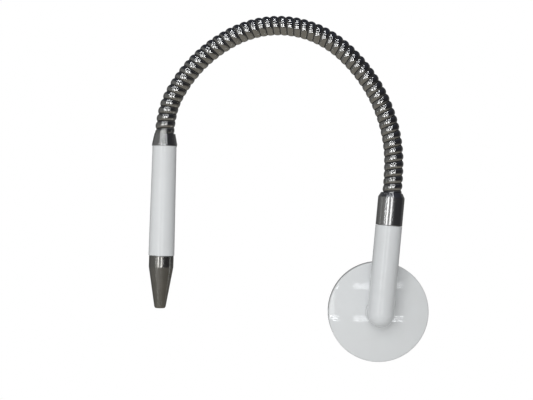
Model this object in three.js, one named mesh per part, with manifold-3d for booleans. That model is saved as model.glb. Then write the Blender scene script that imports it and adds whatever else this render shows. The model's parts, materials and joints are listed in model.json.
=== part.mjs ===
// Wall-mounted examination lamp: a round wall base, a short swivelling arm, a chrome gooseneck
// and a pen-shaped LED head with a press switch.
// Millimetres. +Z is up, +Y points into the wall, the origin is the middle of the base's back face.
import * as THREE from "three";
import { mergeVertices } from "three/addons/utils/BufferGeometryUtils.js";
import Module from "manifold-3d";

const wasm = await Module();
wasm.setup();

// ---------------------------------------------------------------- driving dimensions
const GAP = 0.3; // running and seating clearance between neighbouring pieces
const FACETS = 28; // sides of the large turned pieces
const FINE = 16; // sides of the small turned pieces

// wall base, heights measured out from the wall
const BASE_R = 50;
const BASE_SIDE = 12;
const BASE_HEIGHT = 19.5;
const COVER_WALL = 2;
const COVER_EDGE = 1.5;
const COVER_HOLE_R = 7;
const PLATE_THICK = 3;
const RIM_HEIGHT = 8;
const RIM_THICK = 4;
const COVER_SCREW_Z = 5;
const CABLE_HOLE_R = 8;
const CABLE_X = -20;
const CABLE_Y = -24;
const SLOT_X = 35;
const SLOT_WIDTH = 5;
const SLOT_LENGTH = 10;

// swivel
const STEM_R = 5;
const STEM_BORE_R = 3;
const STEM_BACK = 7.2;
const NUT_THICK = 3;
const NUT_FLATS = 14;
const WASHER_THICK = 0.8;
const WASHER_R = 9;
const TAB_REACH = 14;
const TAB_WIDTH = 5;
const STRAP_THICK = 2;
const STRAP_WIDTH = 18;
const STRAP_SPAN = 42;
const STRAP_FOOT = 8;
const BUSH_FLANGE_R = 10;
const BUSH_FLANGE = 1.5;
const BUSH_WALL = 2;
const PIN_R = 1.5;
const SADDLE_R = 13.7;
const SADDLE_THICK = 3.4;

// arm
const ARM_R = 13;
const ARM_WALL = 2.5;
const ARM_LENGTH = 86.8;
const ARM_LEAN = 5.3; // degrees from upright, towards +X
const LOCK_FLATS = 13;
const LOCK_THICK = 3.5;
const LOCK_WASHER_R = 7.5;
const COLLAR_LENGTH = 26.8;
const COLLAR_SHOULDER = 5.2;
const COLLAR_TOP_R = 10.2;
const SPIGOT_LENGTH = 11;
const COLLAR_PLUG = 24;
const GRUB_R = 1.4;

// gooseneck: radius and turn in degrees of each bend, from the arm to the head
const NECK_BENDS = [
  [148, 55],
  [94, 65],
  [133, 41],
  [65.5, 22.65],
];
const NECK_R = 9.5;
const NECK_VALLEY_R = 8.8;
const NECK_BORE_R = 4.8;
const NECK_PLUG_R = 8;
const NECK_LEAD_IN = 14.7; // straight length above the collar
const NECK_TAIL = 6; // straight length before the head
const FIRST_JOINT = 14.4; // from the collar to the first joint, along the neck
const STRETCHES = 15;
const BEADS = 3;
const NECK_FACETS = 12;
const BALL_R = 8;
const BALL_BACK = 5.4;
const BALL_STEPS = 3;
const JOINT_TILT = 22; // degrees that one joint can turn before its edges meet

// head, lengths measured along its axis from the ferrule's mouth
const FERRULE_MOUTH_R = 10.25;
const FERRULE_R = 12.25;
const FERRULE_LENGTH = 11.8;
const FERRULE_BORE = 9.3;
const FERRULE_SPIGOT = 9;
const HEAD_BORE_R = 5.5;
const GRIP_TOP_R = 13.1;
const GRIP_END_R = 12.6;
const GRIP_WALL = 2.1;
const GRIP_LENGTH = 107;
const GRIP_EDGE = 0.6;
const SINK_LENGTH = 44;
const SINK_IN_NOSE = 8.6;
const SINK_GROOVE = 1.6;
const SINK_GROOVES = 4;
const NOSE_R = 12;
const NOSE_BAND = 10.8;
const NOSE_LENGTH = 51;
const NOSE_TIP_R = 5.6;
const NOSE_WALL = 1.1;
const NOSE_EDGE = 1.6;
const LENS_R = 9.8;
const LENS_THICK = 3;
const LENS_RISE = 3.4;
const LENS_SEAT = 1.2;
const WINDOW_R = 4.7;
const WINDOW_THICK = 2;
const WINDOW_LIP = 3.8;
const WINDOW_OPEN_R = 4;
const SEAL_THICK = 1.4;
const BOARD_R = 9.6;
const BOARD_THICK = 1.2;
const SWITCH_AT = 43;
const SWITCH_R = 4.7;
const SWITCH_BACK = 2.5;
const SWITCH_FLOOR = 3;
const SWITCH_PROUD = 0.7;
const BUTTON_R = 3.1;
const BUTTON_LENGTH = 5.6;
const BUTTON_PROUD = 1.4;
const SPRING_R = 2.3;
const SPRING_WIRE = 0.3;
const SPRING_TURNS = 3;

// leads and small parts
const LEAD_R = 1.2;
const DRIVER_SIZE = [34, 18, 5.5];
const DRIVER_Y = 24;
const DRIVER_TAB = 6;
const TERMINAL_SIZE = [22, 11, 8];
const TERMINAL_X = 12;
const TERMINAL_Y = -22;
const CLAMP_X = -5;
const CLAMP_LENGTH = 18;
const CLAMP_HEIGHT = 6;
const CLAMP_WIDTH = 6;
const CLAMP_CABLE_R = 2.8;
const SCREW_R = 1.5;
const SCREW_HEAD_R = 2.7;
const SCREW_HEAD = 1.6;

// ---------------------------------------------------------------- finishes
const white = finish(0xd3d6d6, 0.22, 0);
const chrome = finish(0x8c8a86, 0.12, 1);
const steel = finish(0x6e6b66, 0.38, 1);
const zinc = finish(0xa9adb0, 0.45, 1);
const brass = finish(0xb79a58, 0.4, 1);
const aluminium = finish(0xb4b7ba, 0.5, 1);
const nylon = finish(0xe6e2d6, 0.6, 0);
const blackPlastic = finish(0x1d1e20, 0.5, 0);
const greyRubber = finish(0x34363a, 0.8, 0);
const board = finish(0xe9e9e4, 0.5, 0);
const clear = finish(0xdfe8ec, 0.05, 0);
const phosphor = finish(0xe8d060, 0.5, 0);
const leadGrey = finish(0x8f9396, 0.6, 0);

function finish(color, roughness, metalness) {
  return new THREE.MeshStandardMaterial({ color, roughness, metalness });
}

// ---------------------------------------------------------------- geometry helpers
const rad = THREE.MathUtils.degToRad;
const root = new THREE.Group();

// A frame on the wall: x as the world's, y up, z out from the wall.
const onWall = new THREE.Group();
onWall.rotation.x = Math.PI / 2;
root.add(onWall);

function add(parent, name, geometry, material) {
  const mesh = new THREE.Mesh(geometry, material);
  mesh.name = name;
  parent.add(mesh);
  return mesh;
}

// Turns [radius, height] points round local +Z. An outline that leaves the axis is closed on itself.
function turned(outline, sides) {
  const points = outline.map(([r, z]) => new THREE.Vector2(r, z));
  if (THREE.ShapeUtils.area(points) < 0) points.reverse();
  const onAxis = points.filter((p) => p.x === 0).length;
  if (onAxis === 0) points.push(points[0].clone());
  while (onAxis > 0 && !(points[0].x === 0 && points.at(-1).x === 0)) points.push(points.shift());
  return new THREE.LatheGeometry(points, sides).rotateX(Math.PI / 2);
}

// Points of an arc about (r0, z0), from one angle to the other in degrees, 0 pointing outwards.
function arc(r0, z0, radius, from, to, steps) {
  return Array.from({ length: steps + 1 }, (_, i) => {
    const a = rad(from + ((to - from) * i) / steps);
    const r = r0 + radius * Math.cos(a);
    return [Math.abs(r) < 1e-9 ? 0 : r, z0 + radius * Math.sin(a)];
  });
}

function rod(radius, z0, z1, sides = FINE) {
  return new THREE.CylinderGeometry(radius, radius, z1 - z0, sides)
    .rotateX(Math.PI / 2)
    .translate(0, 0, (z0 + z1) / 2);
}

// The same rod lying along +Y at height z.
function rodAlongY(radius, y0, y1, z, sides = FINE) {
  return new THREE.CylinderGeometry(radius, radius, y1 - y0, sides).translate(0, (y0 + y1) / 2, z);
}

function box(x, y, z0, width, depth, height) {
  return new THREE.BoxGeometry(width, depth, height).translate(x, y, z0 + height / 2);
}

function toSolid(geometry) {
  const plain = geometry.index ? geometry.toNonIndexed() : geometry.clone();
  plain.deleteAttribute("normal");
  plain.deleteAttribute("uv");
  const merged = mergeVertices(plain, 1e-4);
  return new wasm.Manifold(
    new wasm.Mesh({
      numProp: 3,
      vertProperties: new Float32Array(merged.attributes.position.array),
      triVerts: new Uint32Array(merged.index.array),
    }),
  );
}

function toGeometry(solid) {
  const mesh = solid.getMesh();
  const geometry = new THREE.BufferGeometry();
  geometry.setAttribute("position", new THREE.BufferAttribute(mesh.vertProperties, 3));
  geometry.setIndex(new THREE.BufferAttribute(mesh.triVerts, 1));
  geometry.computeVertexNormals();
  return geometry;
}

function cut(body, ...tools) {
  return toGeometry(tools.reduce((solid, tool) => solid.subtract(toSolid(tool)), toSolid(body)));
}

function join(body, ...others) {
  return toGeometry(others.reduce((solid, other) => solid.add(toSolid(other)), toSolid(body)));
}

function hexNut(flats, bore, z0, thick) {
  const outer = new THREE.CylinderGeometry(flats / Math.sqrt(3), flats / Math.sqrt(3), thick, 6)
    .rotateX(Math.PI / 2)
    .translate(0, 0, z0 + thick / 2);
  return cut(outer, rod(bore, z0 - 1, z0 + thick + 1));
}

// A pan-head screw: shank from z0 up to the underside of its head at seat.
function screw(z0, seat) {
  return turned(
    [
      [0, z0],
      [SCREW_R, z0],
      [SCREW_R, seat],
      [SCREW_HEAD_R, seat],
      [SCREW_HEAD_R - 0.6, seat + SCREW_HEAD],
      [0, seat + SCREW_HEAD],
    ],
    10,
  );
}

// ---------------------------------------------------------------- levels shared by the swivel parts
const nutFront = STEM_BACK + GAP + NUT_THICK;
const washerBack = nutFront + GAP;
const strapBack = washerBack + WASHER_THICK + GAP;
const strapFront = strapBack + STRAP_THICK;
const bushR = STEM_R + GAP + BUSH_WALL;
const pinHeadR = 1.5 * PIN_R;
const pinReach = BUSH_FLANGE_R + pinHeadR + GAP; // from the swivel axis
const saddleBack = BASE_HEIGHT + GAP;
const armAxis = saddleBack + SADDLE_THICK + ARM_R - 1.7; // the arm sinks this far into its saddle
const armBoreR = ARM_R - ARM_WALL;
const plateR = BASE_R - COVER_WALL - 2 * GAP;
const domeR = ((BASE_R - COVER_EDGE) ** 2 + (BASE_HEIGHT - BASE_SIDE - COVER_EDGE) ** 2)
  / (2 * (BASE_HEIGHT - BASE_SIDE - COVER_EDGE));

// ---------------------------------------------------------------- wall base
function wallPlate() {
  const dish = turned(
    [
      [0, 0],
      [plateR, 0],
      [plateR, RIM_HEIGHT],
      [plateR - RIM_THICK, RIM_HEIGHT],
      [plateR - RIM_THICK, PLATE_THICK],
      [0, PLATE_THICK],
    ],
    FACETS,
  );
  const cableHole = rod(CABLE_HOLE_R, -1, PLATE_THICK + 1).translate(CABLE_X, CABLE_Y, 0);
  const slots = [-1, 1].map((side) => box(side * SLOT_X, 0, -1, SLOT_WIDTH, SLOT_LENGTH, PLATE_THICK + 2));
  const screwHole = new THREE.CylinderGeometry(SCREW_R + GAP, SCREW_R + GAP, 2 * BASE_R, FINE)
    .rotateZ(Math.PI / 2)
    .translate(0, 0, COVER_SCREW_Z);
  return cut(dish, cableHole, ...slots, screwHole);
}

function domeHeight(r, offset) {
  return BASE_HEIGHT - domeR + Math.sqrt((domeR - offset) ** 2 - r ** 2);
}

function baseCover() {
  const rings = [0.78, 0.55, 0.33].map((share) => share * BASE_R);
  const innerR = BASE_R - COVER_WALL;
  const shell = turned(
    [
      [BASE_R, 0],
      ...arc(BASE_R - COVER_EDGE, BASE_SIDE, COVER_EDGE, 0, 72, 3),
      ...rings.map((r) => [r, domeHeight(r, 0)]),
      [COVER_HOLE_R, domeHeight(COVER_HOLE_R, 0)],
      [COVER_HOLE_R, domeHeight(COVER_HOLE_R, COVER_WALL)],
      ...rings.reverse().map((r) => [r, domeHeight(r, COVER_WALL)]),
      [innerR, domeHeight(innerR, COVER_WALL)],
      [innerR, 0],
    ],
    FACETS,
  );
  const screwHole = new THREE.CylinderGeometry(SCREW_HEAD_R + GAP, SCREW_HEAD_R + GAP, 2 * BASE_R + 2, FINE)
    .rotateZ(Math.PI / 2)
    .translate(0, 0, COVER_SCREW_Z);
  return cut(shell, screwHole);
}

function swivelBridge() {
  const half = STRAP_SPAN / 2;
  const foot = half + STRAP_FOOT;
  const seat = PLATE_THICK + GAP;
  const outline = new THREE.Shape([
    new THREE.Vector2(-foot, seat),
    new THREE.Vector2(-half + STRAP_THICK, seat),
    new THREE.Vector2(-half + STRAP_THICK, strapBack),
    new THREE.Vector2(half - STRAP_THICK, strapBack),
    new THREE.Vector2(half - STRAP_THICK, seat),
    new THREE.Vector2(foot, seat),
    new THREE.Vector2(foot, seat + STRAP_THICK),
    new THREE.Vector2(half, seat + STRAP_THICK),
    new THREE.Vector2(half, strapFront),
    new THREE.Vector2(-half, strapFront),
    new THREE.Vector2(-half, seat + STRAP_THICK),
    new THREE.Vector2(-foot, seat + STRAP_THICK),
  ]);
  const strap = new THREE.ExtrudeGeometry(outline, { depth: STRAP_WIDTH, bevelEnabled: false })
    .translate(0, 0, -STRAP_WIDTH / 2)
    .rotateX(Math.PI / 2);
  // the pin's hole lies in a lug below the strap
  const lugEnd = pinReach + 2 * PIN_R;
  const lug = box(0, -lugEnd / 2, strapBack, 4 * PIN_R, lugEnd, STRAP_THICK);
  const bushHole = rod(bushR + GAP, 0, strapFront + 1);
  const pinHole = rod(PIN_R + GAP, 0, strapFront + 1).translate(0, -pinReach, 0);
  const footHoles = [-1, 1].map((side) =>
    rod(SCREW_R + GAP, 0, seat + STRAP_THICK + 1).translate(side * (foot - STRAP_FOOT / 2), 0, 0),
  );
  return cut(join(strap, lug), bushHole, pinHole, ...footHoles);
}

function swivelBush() {
  const bore = STEM_R + GAP;
  return turned(
    [
      [bore, strapBack + GAP],
      [bushR, strapBack + GAP],
      [bushR, strapFront + GAP],
      [BUSH_FLANGE_R, strapFront + GAP],
      [BUSH_FLANGE_R, strapFront + GAP + BUSH_FLANGE],
      [bore, strapFront + GAP + BUSH_FLANGE],
    ],
    FINE,
  );
}

function stopPin() {
  return turned(
    [
      [0, washerBack],
      [PIN_R, washerBack],
      [PIN_R, strapFront + GAP],
      [pinHeadR, strapFront + GAP],
      [pinHeadR, strapFront + GAP + 1],
      [0, strapFront + GAP + 1],
    ],
    10,
  ).translate(0, -pinReach, 0);
}

function ledDriver() {
  const [width, depth, height] = DRIVER_SIZE;
  const seat = PLATE_THICK + GAP;
  const tabs = box(0, DRIVER_Y, seat, width + 2 * DRIVER_TAB, DRIVER_TAB, STRAP_THICK);
  const holes = [-1, 1].map((side) =>
    rod(SCREW_R + GAP, 0, seat + height).translate((side * (width + DRIVER_TAB)) / 2, DRIVER_Y, 0),
  );
  return cut(join(box(0, DRIVER_Y, seat, width, depth, height), tabs), ...holes);
}

function terminalBlock() {
  const [width, depth, height] = TERMINAL_SIZE;
  const seat = PLATE_THICK + GAP;
  const holes = [-1, 0, 1].map((k) =>
    rod(1.6, seat + height / 2, seat + height + 1, 8).translate(TERMINAL_X + (k * width) / 3.4, TERMINAL_Y, 0),
  );
  return cut(box(TERMINAL_X, TERMINAL_Y, seat, width, depth, height), ...holes);
}

function cableClamp() {
  const seat = PLATE_THICK + GAP;
  const body = box(CLAMP_X, CABLE_Y, seat, CLAMP_WIDTH, CLAMP_LENGTH, CLAMP_HEIGHT);
  const groove = new THREE.CylinderGeometry(CLAMP_CABLE_R, CLAMP_CABLE_R, 2 * CLAMP_WIDTH, FINE)
    .rotateZ(Math.PI / 2)
    .translate(CLAMP_X, CABLE_Y, seat);
  const holes = [-1, 1].map((side) =>
    rod(SCREW_R + GAP, 0, seat + CLAMP_HEIGHT + 1).translate(CLAMP_X, CABLE_Y + side * clampPitch, 0),
  );
  return cut(body, groove, ...holes);
}

const clampPitch = CLAMP_LENGTH / 2 - SCREW_R - 1.6;

function sidewaysScrew(side) {
  // lies along X, its head inside the cover's hole and its shank in the plate's rim
  const headSeat = plateR + GAP;
  const shankEnd = plateR - RIM_THICK;
  return screw(shankEnd, headSeat)
    .rotateY((side * Math.PI) / 2)
    .translate(0, 0, COVER_SCREW_Z);
}

function buildBase() {
  add(onWall, "wall_plate", wallPlate(), zinc);
  add(onWall, "base_cover", baseCover(), white);
  add(onWall, "swivel_bridge", swivelBridge(), zinc);
  add(onWall, "swivel_bush", swivelBush(), nylon);
  add(onWall, "stop_pin", stopPin(), zinc);
  add(onWall, "led_driver", ledDriver(), blackPlastic);
  add(onWall, "terminal_block", terminalBlock(), nylon);
  add(onWall, "cable_clamp", cableClamp(), nylon);
  add(onWall, "cover_screw_left", sidewaysScrew(-1), zinc);
  add(onWall, "cover_screw_right", sidewaysScrew(1), zinc);
  const seat = PLATE_THICK + GAP;
  const bridgeX = STRAP_SPAN / 2 + STRAP_FOOT / 2;
  const driverX = (DRIVER_SIZE[0] + DRIVER_TAB) / 2;
  const strapSeat = seat + STRAP_THICK + GAP;
  const clampSeat = seat + CLAMP_HEIGHT + GAP;
  const upright = [
    ["bridge_screw_left", -bridgeX, 0, strapSeat],
    ["bridge_screw_right", bridgeX, 0, strapSeat],
    ["driver_screw_left", -driverX, DRIVER_Y, strapSeat],
    ["driver_screw_right", driverX, DRIVER_Y, strapSeat],
    ["clamp_screw_upper", CLAMP_X, CABLE_Y + clampPitch, clampSeat],
    ["clamp_screw_lower", CLAMP_X, CABLE_Y - clampPitch, clampSeat],
  ];
  for (const [name, x, y, headSeat] of upright) {
    add(onWall, name, screw(seat, headSeat).translate(x, y, 0), zinc);
  }
  const terminalTop = TERMINAL_Y + TERMINAL_SIZE[1] / 2 + GAP;
  const driverEdge = DRIVER_Y - DRIVER_SIZE[1] / 2 - GAP;
  const lead = rodAlongY(LEAD_R, terminalTop, driverEdge, leadLevel, 8).translate(TERMINAL_X + 2, 0, 0);
  add(onWall, "terminal_lead", lead, leadGrey);
}

const leadLevel = PLATE_THICK + LEAD_R + 0.8;

// ---------------------------------------------------------------- arm
const lean = rad(ARM_LEAN);
const arm = new THREE.Group(); // local z runs up the arm from the swivel axis
arm.position.y = -armAxis;
arm.rotation.y = lean;
root.add(arm);

// Swivel pieces that turn with the arm, in the wall's frame turned by the arm's lean.
const swivel = new THREE.Group();
swivel.rotation.z = -lean;
onWall.add(swivel);

const stemFront = armAxis - 2;
const lockBack = armAxis - Math.sqrt((armBoreR - GAP) ** 2 - LOCK_WASHER_R ** 2) + 0.5;
const collarBase = ARM_LENGTH + GAP;
const collarTop = collarBase + COLLAR_LENGTH + COLLAR_SHOULDER;
const neckStart = collarTop;
const grubAt = ARM_LENGTH - SPIGOT_LENGTH / 2;

function armSkin(extra) {
  return turned(
    [
      ...arc(0, 0, ARM_R + extra, -90, 0, 6),
      [ARM_R + extra, ARM_LENGTH],
      [0, ARM_LENGTH],
    ],
    FACETS,
  );
}

function lampArm() {
  const shell = turned(
    [
      ...arc(0, 0, ARM_R, -90, 0, 6),
      [ARM_R, ARM_LENGTH],
      [armBoreR, ARM_LENGTH],
      ...arc(0, 0, armBoreR, 0, -90, 5),
    ],
    FACETS,
  );
  const stemHole = rodAlongY(STEM_R + GAP, armBoreR / 2, 2 * ARM_R, 0);
  const grubHole = rodAlongY(GRUB_R + GAP, armBoreR / 2, 2 * ARM_R, grubAt, 8);
  return cut(shell, stemHole, grubHole);
}

function swivelSaddle() {
  const ring = turned(
    [
      [STEM_R + GAP, saddleBack],
      [SADDLE_R, saddleBack],
      [SADDLE_R, saddleBack + SADDLE_THICK],
      [STEM_R + GAP, saddleBack + SADDLE_THICK],
    ],
    FACETS,
  );
  // the arm's own shape, brought into the wall's frame and set off by the clearance
  const clearance = GAP / Math.cos(Math.PI / FACETS);
  const skin = armSkin(clearance).rotateX(-Math.PI / 2).translate(0, 0, armAxis);
  return cut(ring, skin);
}

function stopWasher() {
  const ring = rod(WASHER_R, washerBack, washerBack + WASHER_THICK);
  const tab = box(0, TAB_REACH / 2, washerBack, TAB_WIDTH, TAB_REACH, WASHER_THICK);
  return cut(join(ring, tab), rod(STEM_R + GAP, 0, strapBack));
}

function saddleWasher() {
  const bore = STEM_R + GAP;
  const dome = armBoreR - GAP;
  const from = -90 + THREE.MathUtils.radToDeg(Math.asin(bore / dome));
  const to = -90 + THREE.MathUtils.radToDeg(Math.asin(LOCK_WASHER_R / dome));
  return turned(
    [
      ...arc(0, armAxis, dome * Math.cos(Math.PI / FACETS), from, to, 3),
      [LOCK_WASHER_R, lockBack],
      [bore, lockBack],
    ],
    FINE,
  );
}

function neckCollar() {
  const spigotR = armBoreR - GAP;
  const shoulderZ = collarTop - COLLAR_SHOULDER;
  const plugBore = NECK_PLUG_R + GAP;
  const body = turned(
    [
      [HEAD_BORE_R, ARM_LENGTH - SPIGOT_LENGTH],
      [spigotR, ARM_LENGTH - SPIGOT_LENGTH],
      [spigotR, collarBase],
      [ARM_R, collarBase],
      [ARM_R, shoulderZ],
      [ARM_R - 0.7, shoulderZ + 0.4 * COLLAR_SHOULDER],
      [COLLAR_TOP_R + 0.6, collarTop - 0.15 * COLLAR_SHOULDER],
      [COLLAR_TOP_R, collarTop],
      [plugBore, collarTop],
      [plugBore, collarTop - COLLAR_PLUG - GAP],
      [HEAD_BORE_R, collarTop - COLLAR_PLUG - GAP],
    ],
    FACETS,
  );
  return cut(body, rodAlongY(GRUB_R + GAP, HEAD_BORE_R / 2, 2 * ARM_R, grubAt, 8));
}

function buildArm() {
  const stem = turned(
    [
      [STEM_BORE_R, STEM_BACK],
      [STEM_R, STEM_BACK],
      [STEM_R, stemFront],
      [STEM_BORE_R, stemFront],
    ],
    FINE,
  );
  add(swivel, "swivel_stem", stem, brass);
  add(swivel, "swivel_nut", hexNut(NUT_FLATS, STEM_R + GAP, STEM_BACK + GAP, NUT_THICK), brass);
  add(swivel, "stop_washer", stopWasher(), zinc);
  add(swivel, "swivel_saddle", swivelSaddle(), white);
  add(swivel, "saddle_washer", saddleWasher(), zinc);
  add(swivel, "arm_lock_nut", hexNut(LOCK_FLATS, STEM_R + GAP, lockBack + GAP, LOCK_THICK), brass);
  add(arm, "lamp_arm", lampArm(), white);
  add(arm, "neck_collar", neckCollar(), chrome);
  add(arm, "collar_screw", rodAlongY(GRUB_R, HEAD_BORE_R + 1, ARM_R - GAP, grubAt, 8), zinc);
  add(arm, "neck_root", neckRoot(), chrome);
}

// ---------------------------------------------------------------- gooseneck
// The neck's middle line lies in the plane of the arm. A heading is an angle from +Z towards -X.
const armTop = {
  x: neckStart * Math.sin(lean),
  z: neckStart * Math.cos(lean),
  heading: -lean,
};
const neckRun = [
  { length: NECK_LEAD_IN, turn: 0 },
  ...NECK_BENDS.map(([radius, degrees]) => ({ length: radius * rad(degrees), turn: rad(degrees) })),
  { length: NECK_TAIL, turn: 0 },
];
const neckLength = neckRun.reduce((sum, part) => sum + part.length, 0);

// The point of the middle line that lies s along it, with its heading there.
function neckPoint(s) {
  let { x, z, heading } = armTop;
  let left = s;
  for (const { length, turn } of neckRun) {
    const run = Math.min(left, length);
    const turned = (turn * run) / length;
    const chord = turn === 0 ? run : ((2 * length) / turn) * Math.sin(turned / 2);
    x -= chord * Math.sin(heading + turned / 2);
    z += chord * Math.cos(heading + turned / 2);
    heading += turned;
    left -= run;
  }
  return { x, z, heading };
}

const jointStep = (neckLength - FIRST_JOINT - NECK_TAIL) / STRETCHES;
const joints = Array.from({ length: STRETCHES + 1 }, (_, i) => neckPoint(FIRST_JOINT + i * jointStep));
const headStart = neckPoint(neckLength);

// a socket's arc is under 60 degrees, and its facets still clear the ball's corners
const chordDrop = Math.cos(Math.PI / NECK_FACETS) * Math.cos(rad(60 / 2 / BALL_STEPS));
const socketR = (BALL_R + GAP) / chordDrop;
const tilt = rad(JOINT_TILT);
const shoulderZ = (NECK_R * Math.sin(tilt) + GAP) / Math.cos(tilt);

// The ball end of a stretch, about z = 0, up to the shoulder behind it.
function ballEnd() {
  const from = THREE.MathUtils.radToDeg(-Math.asin(BALL_BACK / BALL_R));
  const to = THREE.MathUtils.radToDeg(Math.asin(shoulderZ / BALL_R));
  return [[NECK_BORE_R, -BALL_BACK], ...arc(0, 0, BALL_R, from, to, BALL_STEPS + 1), [NECK_R, shoulderZ]];
}

// The socket end, its lip in the plane of the joint at z.
function socketEnd(z) {
  const to = -THREE.MathUtils.radToDeg(Math.acos(NECK_BORE_R / socketR));
  return [[NECK_R, z], ...arc(0, z, socketR, 0, to, BALL_STEPS)];
}

// Rounded turns of the strip between two heights, each with a valley after it.
function beads(z0, z1, count) {
  const pitch = (z1 - z0) / count;
  return Array.from({ length: count - 1 }, (_, i) => {
    const valley = z0 + (i + 1) * pitch;
    return [
      [NECK_R, valley - 0.2 * pitch],
      [NECK_VALLEY_R, valley],
      [NECK_R, valley + 0.2 * pitch],
    ];
  }).flat();
}

function neckRoot() {
  const jointZ = neckStart + FIRST_JOINT;
  return turned(
    [
      [NECK_BORE_R, neckStart - COLLAR_PLUG],
      [NECK_PLUG_R, neckStart - COLLAR_PLUG],
      [NECK_PLUG_R, neckStart + GAP],
      [NECK_R, neckStart + GAP],
      ...beads(neckStart + GAP, jointZ, 2),
      ...socketEnd(jointZ),
    ],
    NECK_FACETS,
  );
}

function neckStretch(length) {
  return turned([...ballEnd(), ...beads(shoulderZ, length, BEADS), ...socketEnd(length)], NECK_FACETS);
}

function buildNeck() {
  for (let i = 0; i < STRETCHES; i += 1) {
    const a = joints[i];
    const b = joints[i + 1];
    const length = Math.hypot(b.x - a.x, b.z - a.z);
    const name = `neck_turns_${String(i + 1).padStart(2, "0")}`;
    const mesh = add(root, name, neckStretch(length), chrome);
    mesh.position.set(a.x, -armAxis, a.z);
    mesh.rotation.y = Math.atan2(b.x - a.x, b.z - a.z);
  }
}

// ---------------------------------------------------------------- head
const head = new THREE.Group(); // local z runs from the ferrule's mouth to the tip
head.position.set(headStart.x, -armAxis, headStart.z);
head.rotation.y = -headStart.heading;
root.add(head);

const gripStart = FERRULE_LENGTH + GAP;
const gripEnd = gripStart + GRIP_LENGTH;
const gripBoreR = GRIP_TOP_R - GRIP_WALL;
const coreR = gripBoreR - GAP;
const noseStart = gripEnd + GAP;
const sinkEnd = noseStart + SINK_IN_NOSE;
const boardBack = sinkEnd + GAP;
const boardFront = boardBack + BOARD_THICK;
const lensBack = boardFront + GAP + 4.1;
const lensSeat = lensBack + LENS_THICK + GAP;
const noseEnd = noseStart + NOSE_LENGTH;
const windowSeat = noseEnd - WINDOW_LIP;
const windowFront = windowSeat - GAP;
const windowBack = windowFront - WINDOW_THICK;
const springBack = SWITCH_BACK + SWITCH_FLOOR + GAP;
const buttonFront = GRIP_TOP_R + SWITCH_PROUD + BUTTON_PROUD;
const buttonBack = buttonFront - BUTTON_LENGTH;

function headFerrule() {
  return turned(
    [
      [FERRULE_MOUTH_R, 0],
      [FERRULE_R, FERRULE_LENGTH],
      [coreR, FERRULE_LENGTH],
      [coreR, FERRULE_LENGTH + FERRULE_SPIGOT],
      [HEAD_BORE_R, FERRULE_LENGTH + FERRULE_SPIGOT],
      [HEAD_BORE_R, FERRULE_BORE],
      [NECK_PLUG_R + GAP, FERRULE_BORE],
      [NECK_PLUG_R + GAP, 0],
    ],
    FACETS,
  );
}

function neckEnd() {
  // its ball is the neck's last joint; its plug sits in the ferrule
  const mouth = NECK_TAIL - GAP;
  return turned(
    [
      ...ballEnd(),
      [NECK_R, mouth],
      [NECK_PLUG_R, mouth],
      [NECK_PLUG_R, NECK_TAIL + FERRULE_BORE - GAP],
      [NECK_BORE_R, NECK_TAIL + FERRULE_BORE - GAP],
    ],
    NECK_FACETS,
  ).translate(0, 0, -NECK_TAIL);
}

function gripSleeve() {
  const tube = turned(
    [
      [gripBoreR, gripStart],
      [GRIP_TOP_R - GRIP_EDGE, gripStart],
      [GRIP_TOP_R, gripStart + GRIP_EDGE],
      [GRIP_END_R, gripEnd - GRIP_EDGE],
      [GRIP_END_R - GRIP_EDGE, gripEnd],
      [gripBoreR, gripEnd],
    ],
    FACETS,
  );
  return cut(tube, rodAlongY(SWITCH_R + GAP, SWITCH_BACK, 2 * GRIP_TOP_R, SWITCH_AT));
}

function heatSink() {
  const start = sinkEnd - SINK_LENGTH;
  const bore = LEAD_R + 1;
  const pitch = (noseStart - start) / (SINK_GROOVES + 1);
  const grooves = Array.from({ length: SINK_GROOVES }, (_, i) => {
    const z = start + (i + 1) * pitch;
    return [
      [coreR, z - SINK_GROOVE / 2],
      [coreR - 3, z - SINK_GROOVE / 2],
      [coreR - 3, z + SINK_GROOVE / 2],
      [coreR, z + SINK_GROOVE / 2],
    ];
  }).flat();
  return turned([[bore, start], [coreR, start], ...grooves, [coreR, sinkEnd], [bore, sinkEnd]], FINE);
}

function noseCone() {
  const bandEnd = noseStart + NOSE_BAND;
  const lensBoreR = LENS_R + GAP;
  const tipStart = noseEnd - NOSE_EDGE;
  const slope = (NOSE_R - NOSE_TIP_R) / (tipStart - bandEnd);
  const boreEnd = windowBack - SEAL_THICK - 2 * GAP - 2;
  const windowBoreR = WINDOW_R + GAP;
  const seatWallR = Math.min(lensBoreR - LENS_SEAT, NOSE_R - slope * (lensSeat - bandEnd) - NOSE_WALL);
  return turned(
    [
      [gripBoreR, noseStart],
      [NOSE_R, noseStart],
      [NOSE_R, bandEnd],
      [NOSE_TIP_R, tipStart],
      [NOSE_TIP_R - 0.3, tipStart + 0.6 * NOSE_EDGE],
      [NOSE_TIP_R - 0.9, noseEnd],
      [WINDOW_OPEN_R, noseEnd],
      [WINDOW_OPEN_R, windowSeat],
      [windowBoreR, windowSeat],
      [windowBoreR, boreEnd],
      [seatWallR, lensSeat],
      [lensBoreR, lensSeat],
      [lensBoreR, boardFront + 1.5],
      [gripBoreR, boardFront],
    ],
    FACETS,
  );
}

function condenserLens() {
  const edge = lensBack + LENS_THICK;
  const domeStartR = LENS_R - LENS_SEAT - 2 * GAP;
  return turned(
    [
      [0, lensBack],
      [LENS_R, lensBack],
      [LENS_R, edge],
      [domeStartR, edge],
      [0.8 * domeStartR, edge + 0.4 * LENS_RISE],
      [0.45 * domeStartR, edge + 0.8 * LENS_RISE],
      [0, edge + LENS_RISE],
    ],
    FINE,
  );
}

function ring(outer, inner, z0, z1) {
  return turned([[inner, z0], [outer, z0], [outer, z1], [inner, z1]], FINE);
}

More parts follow.
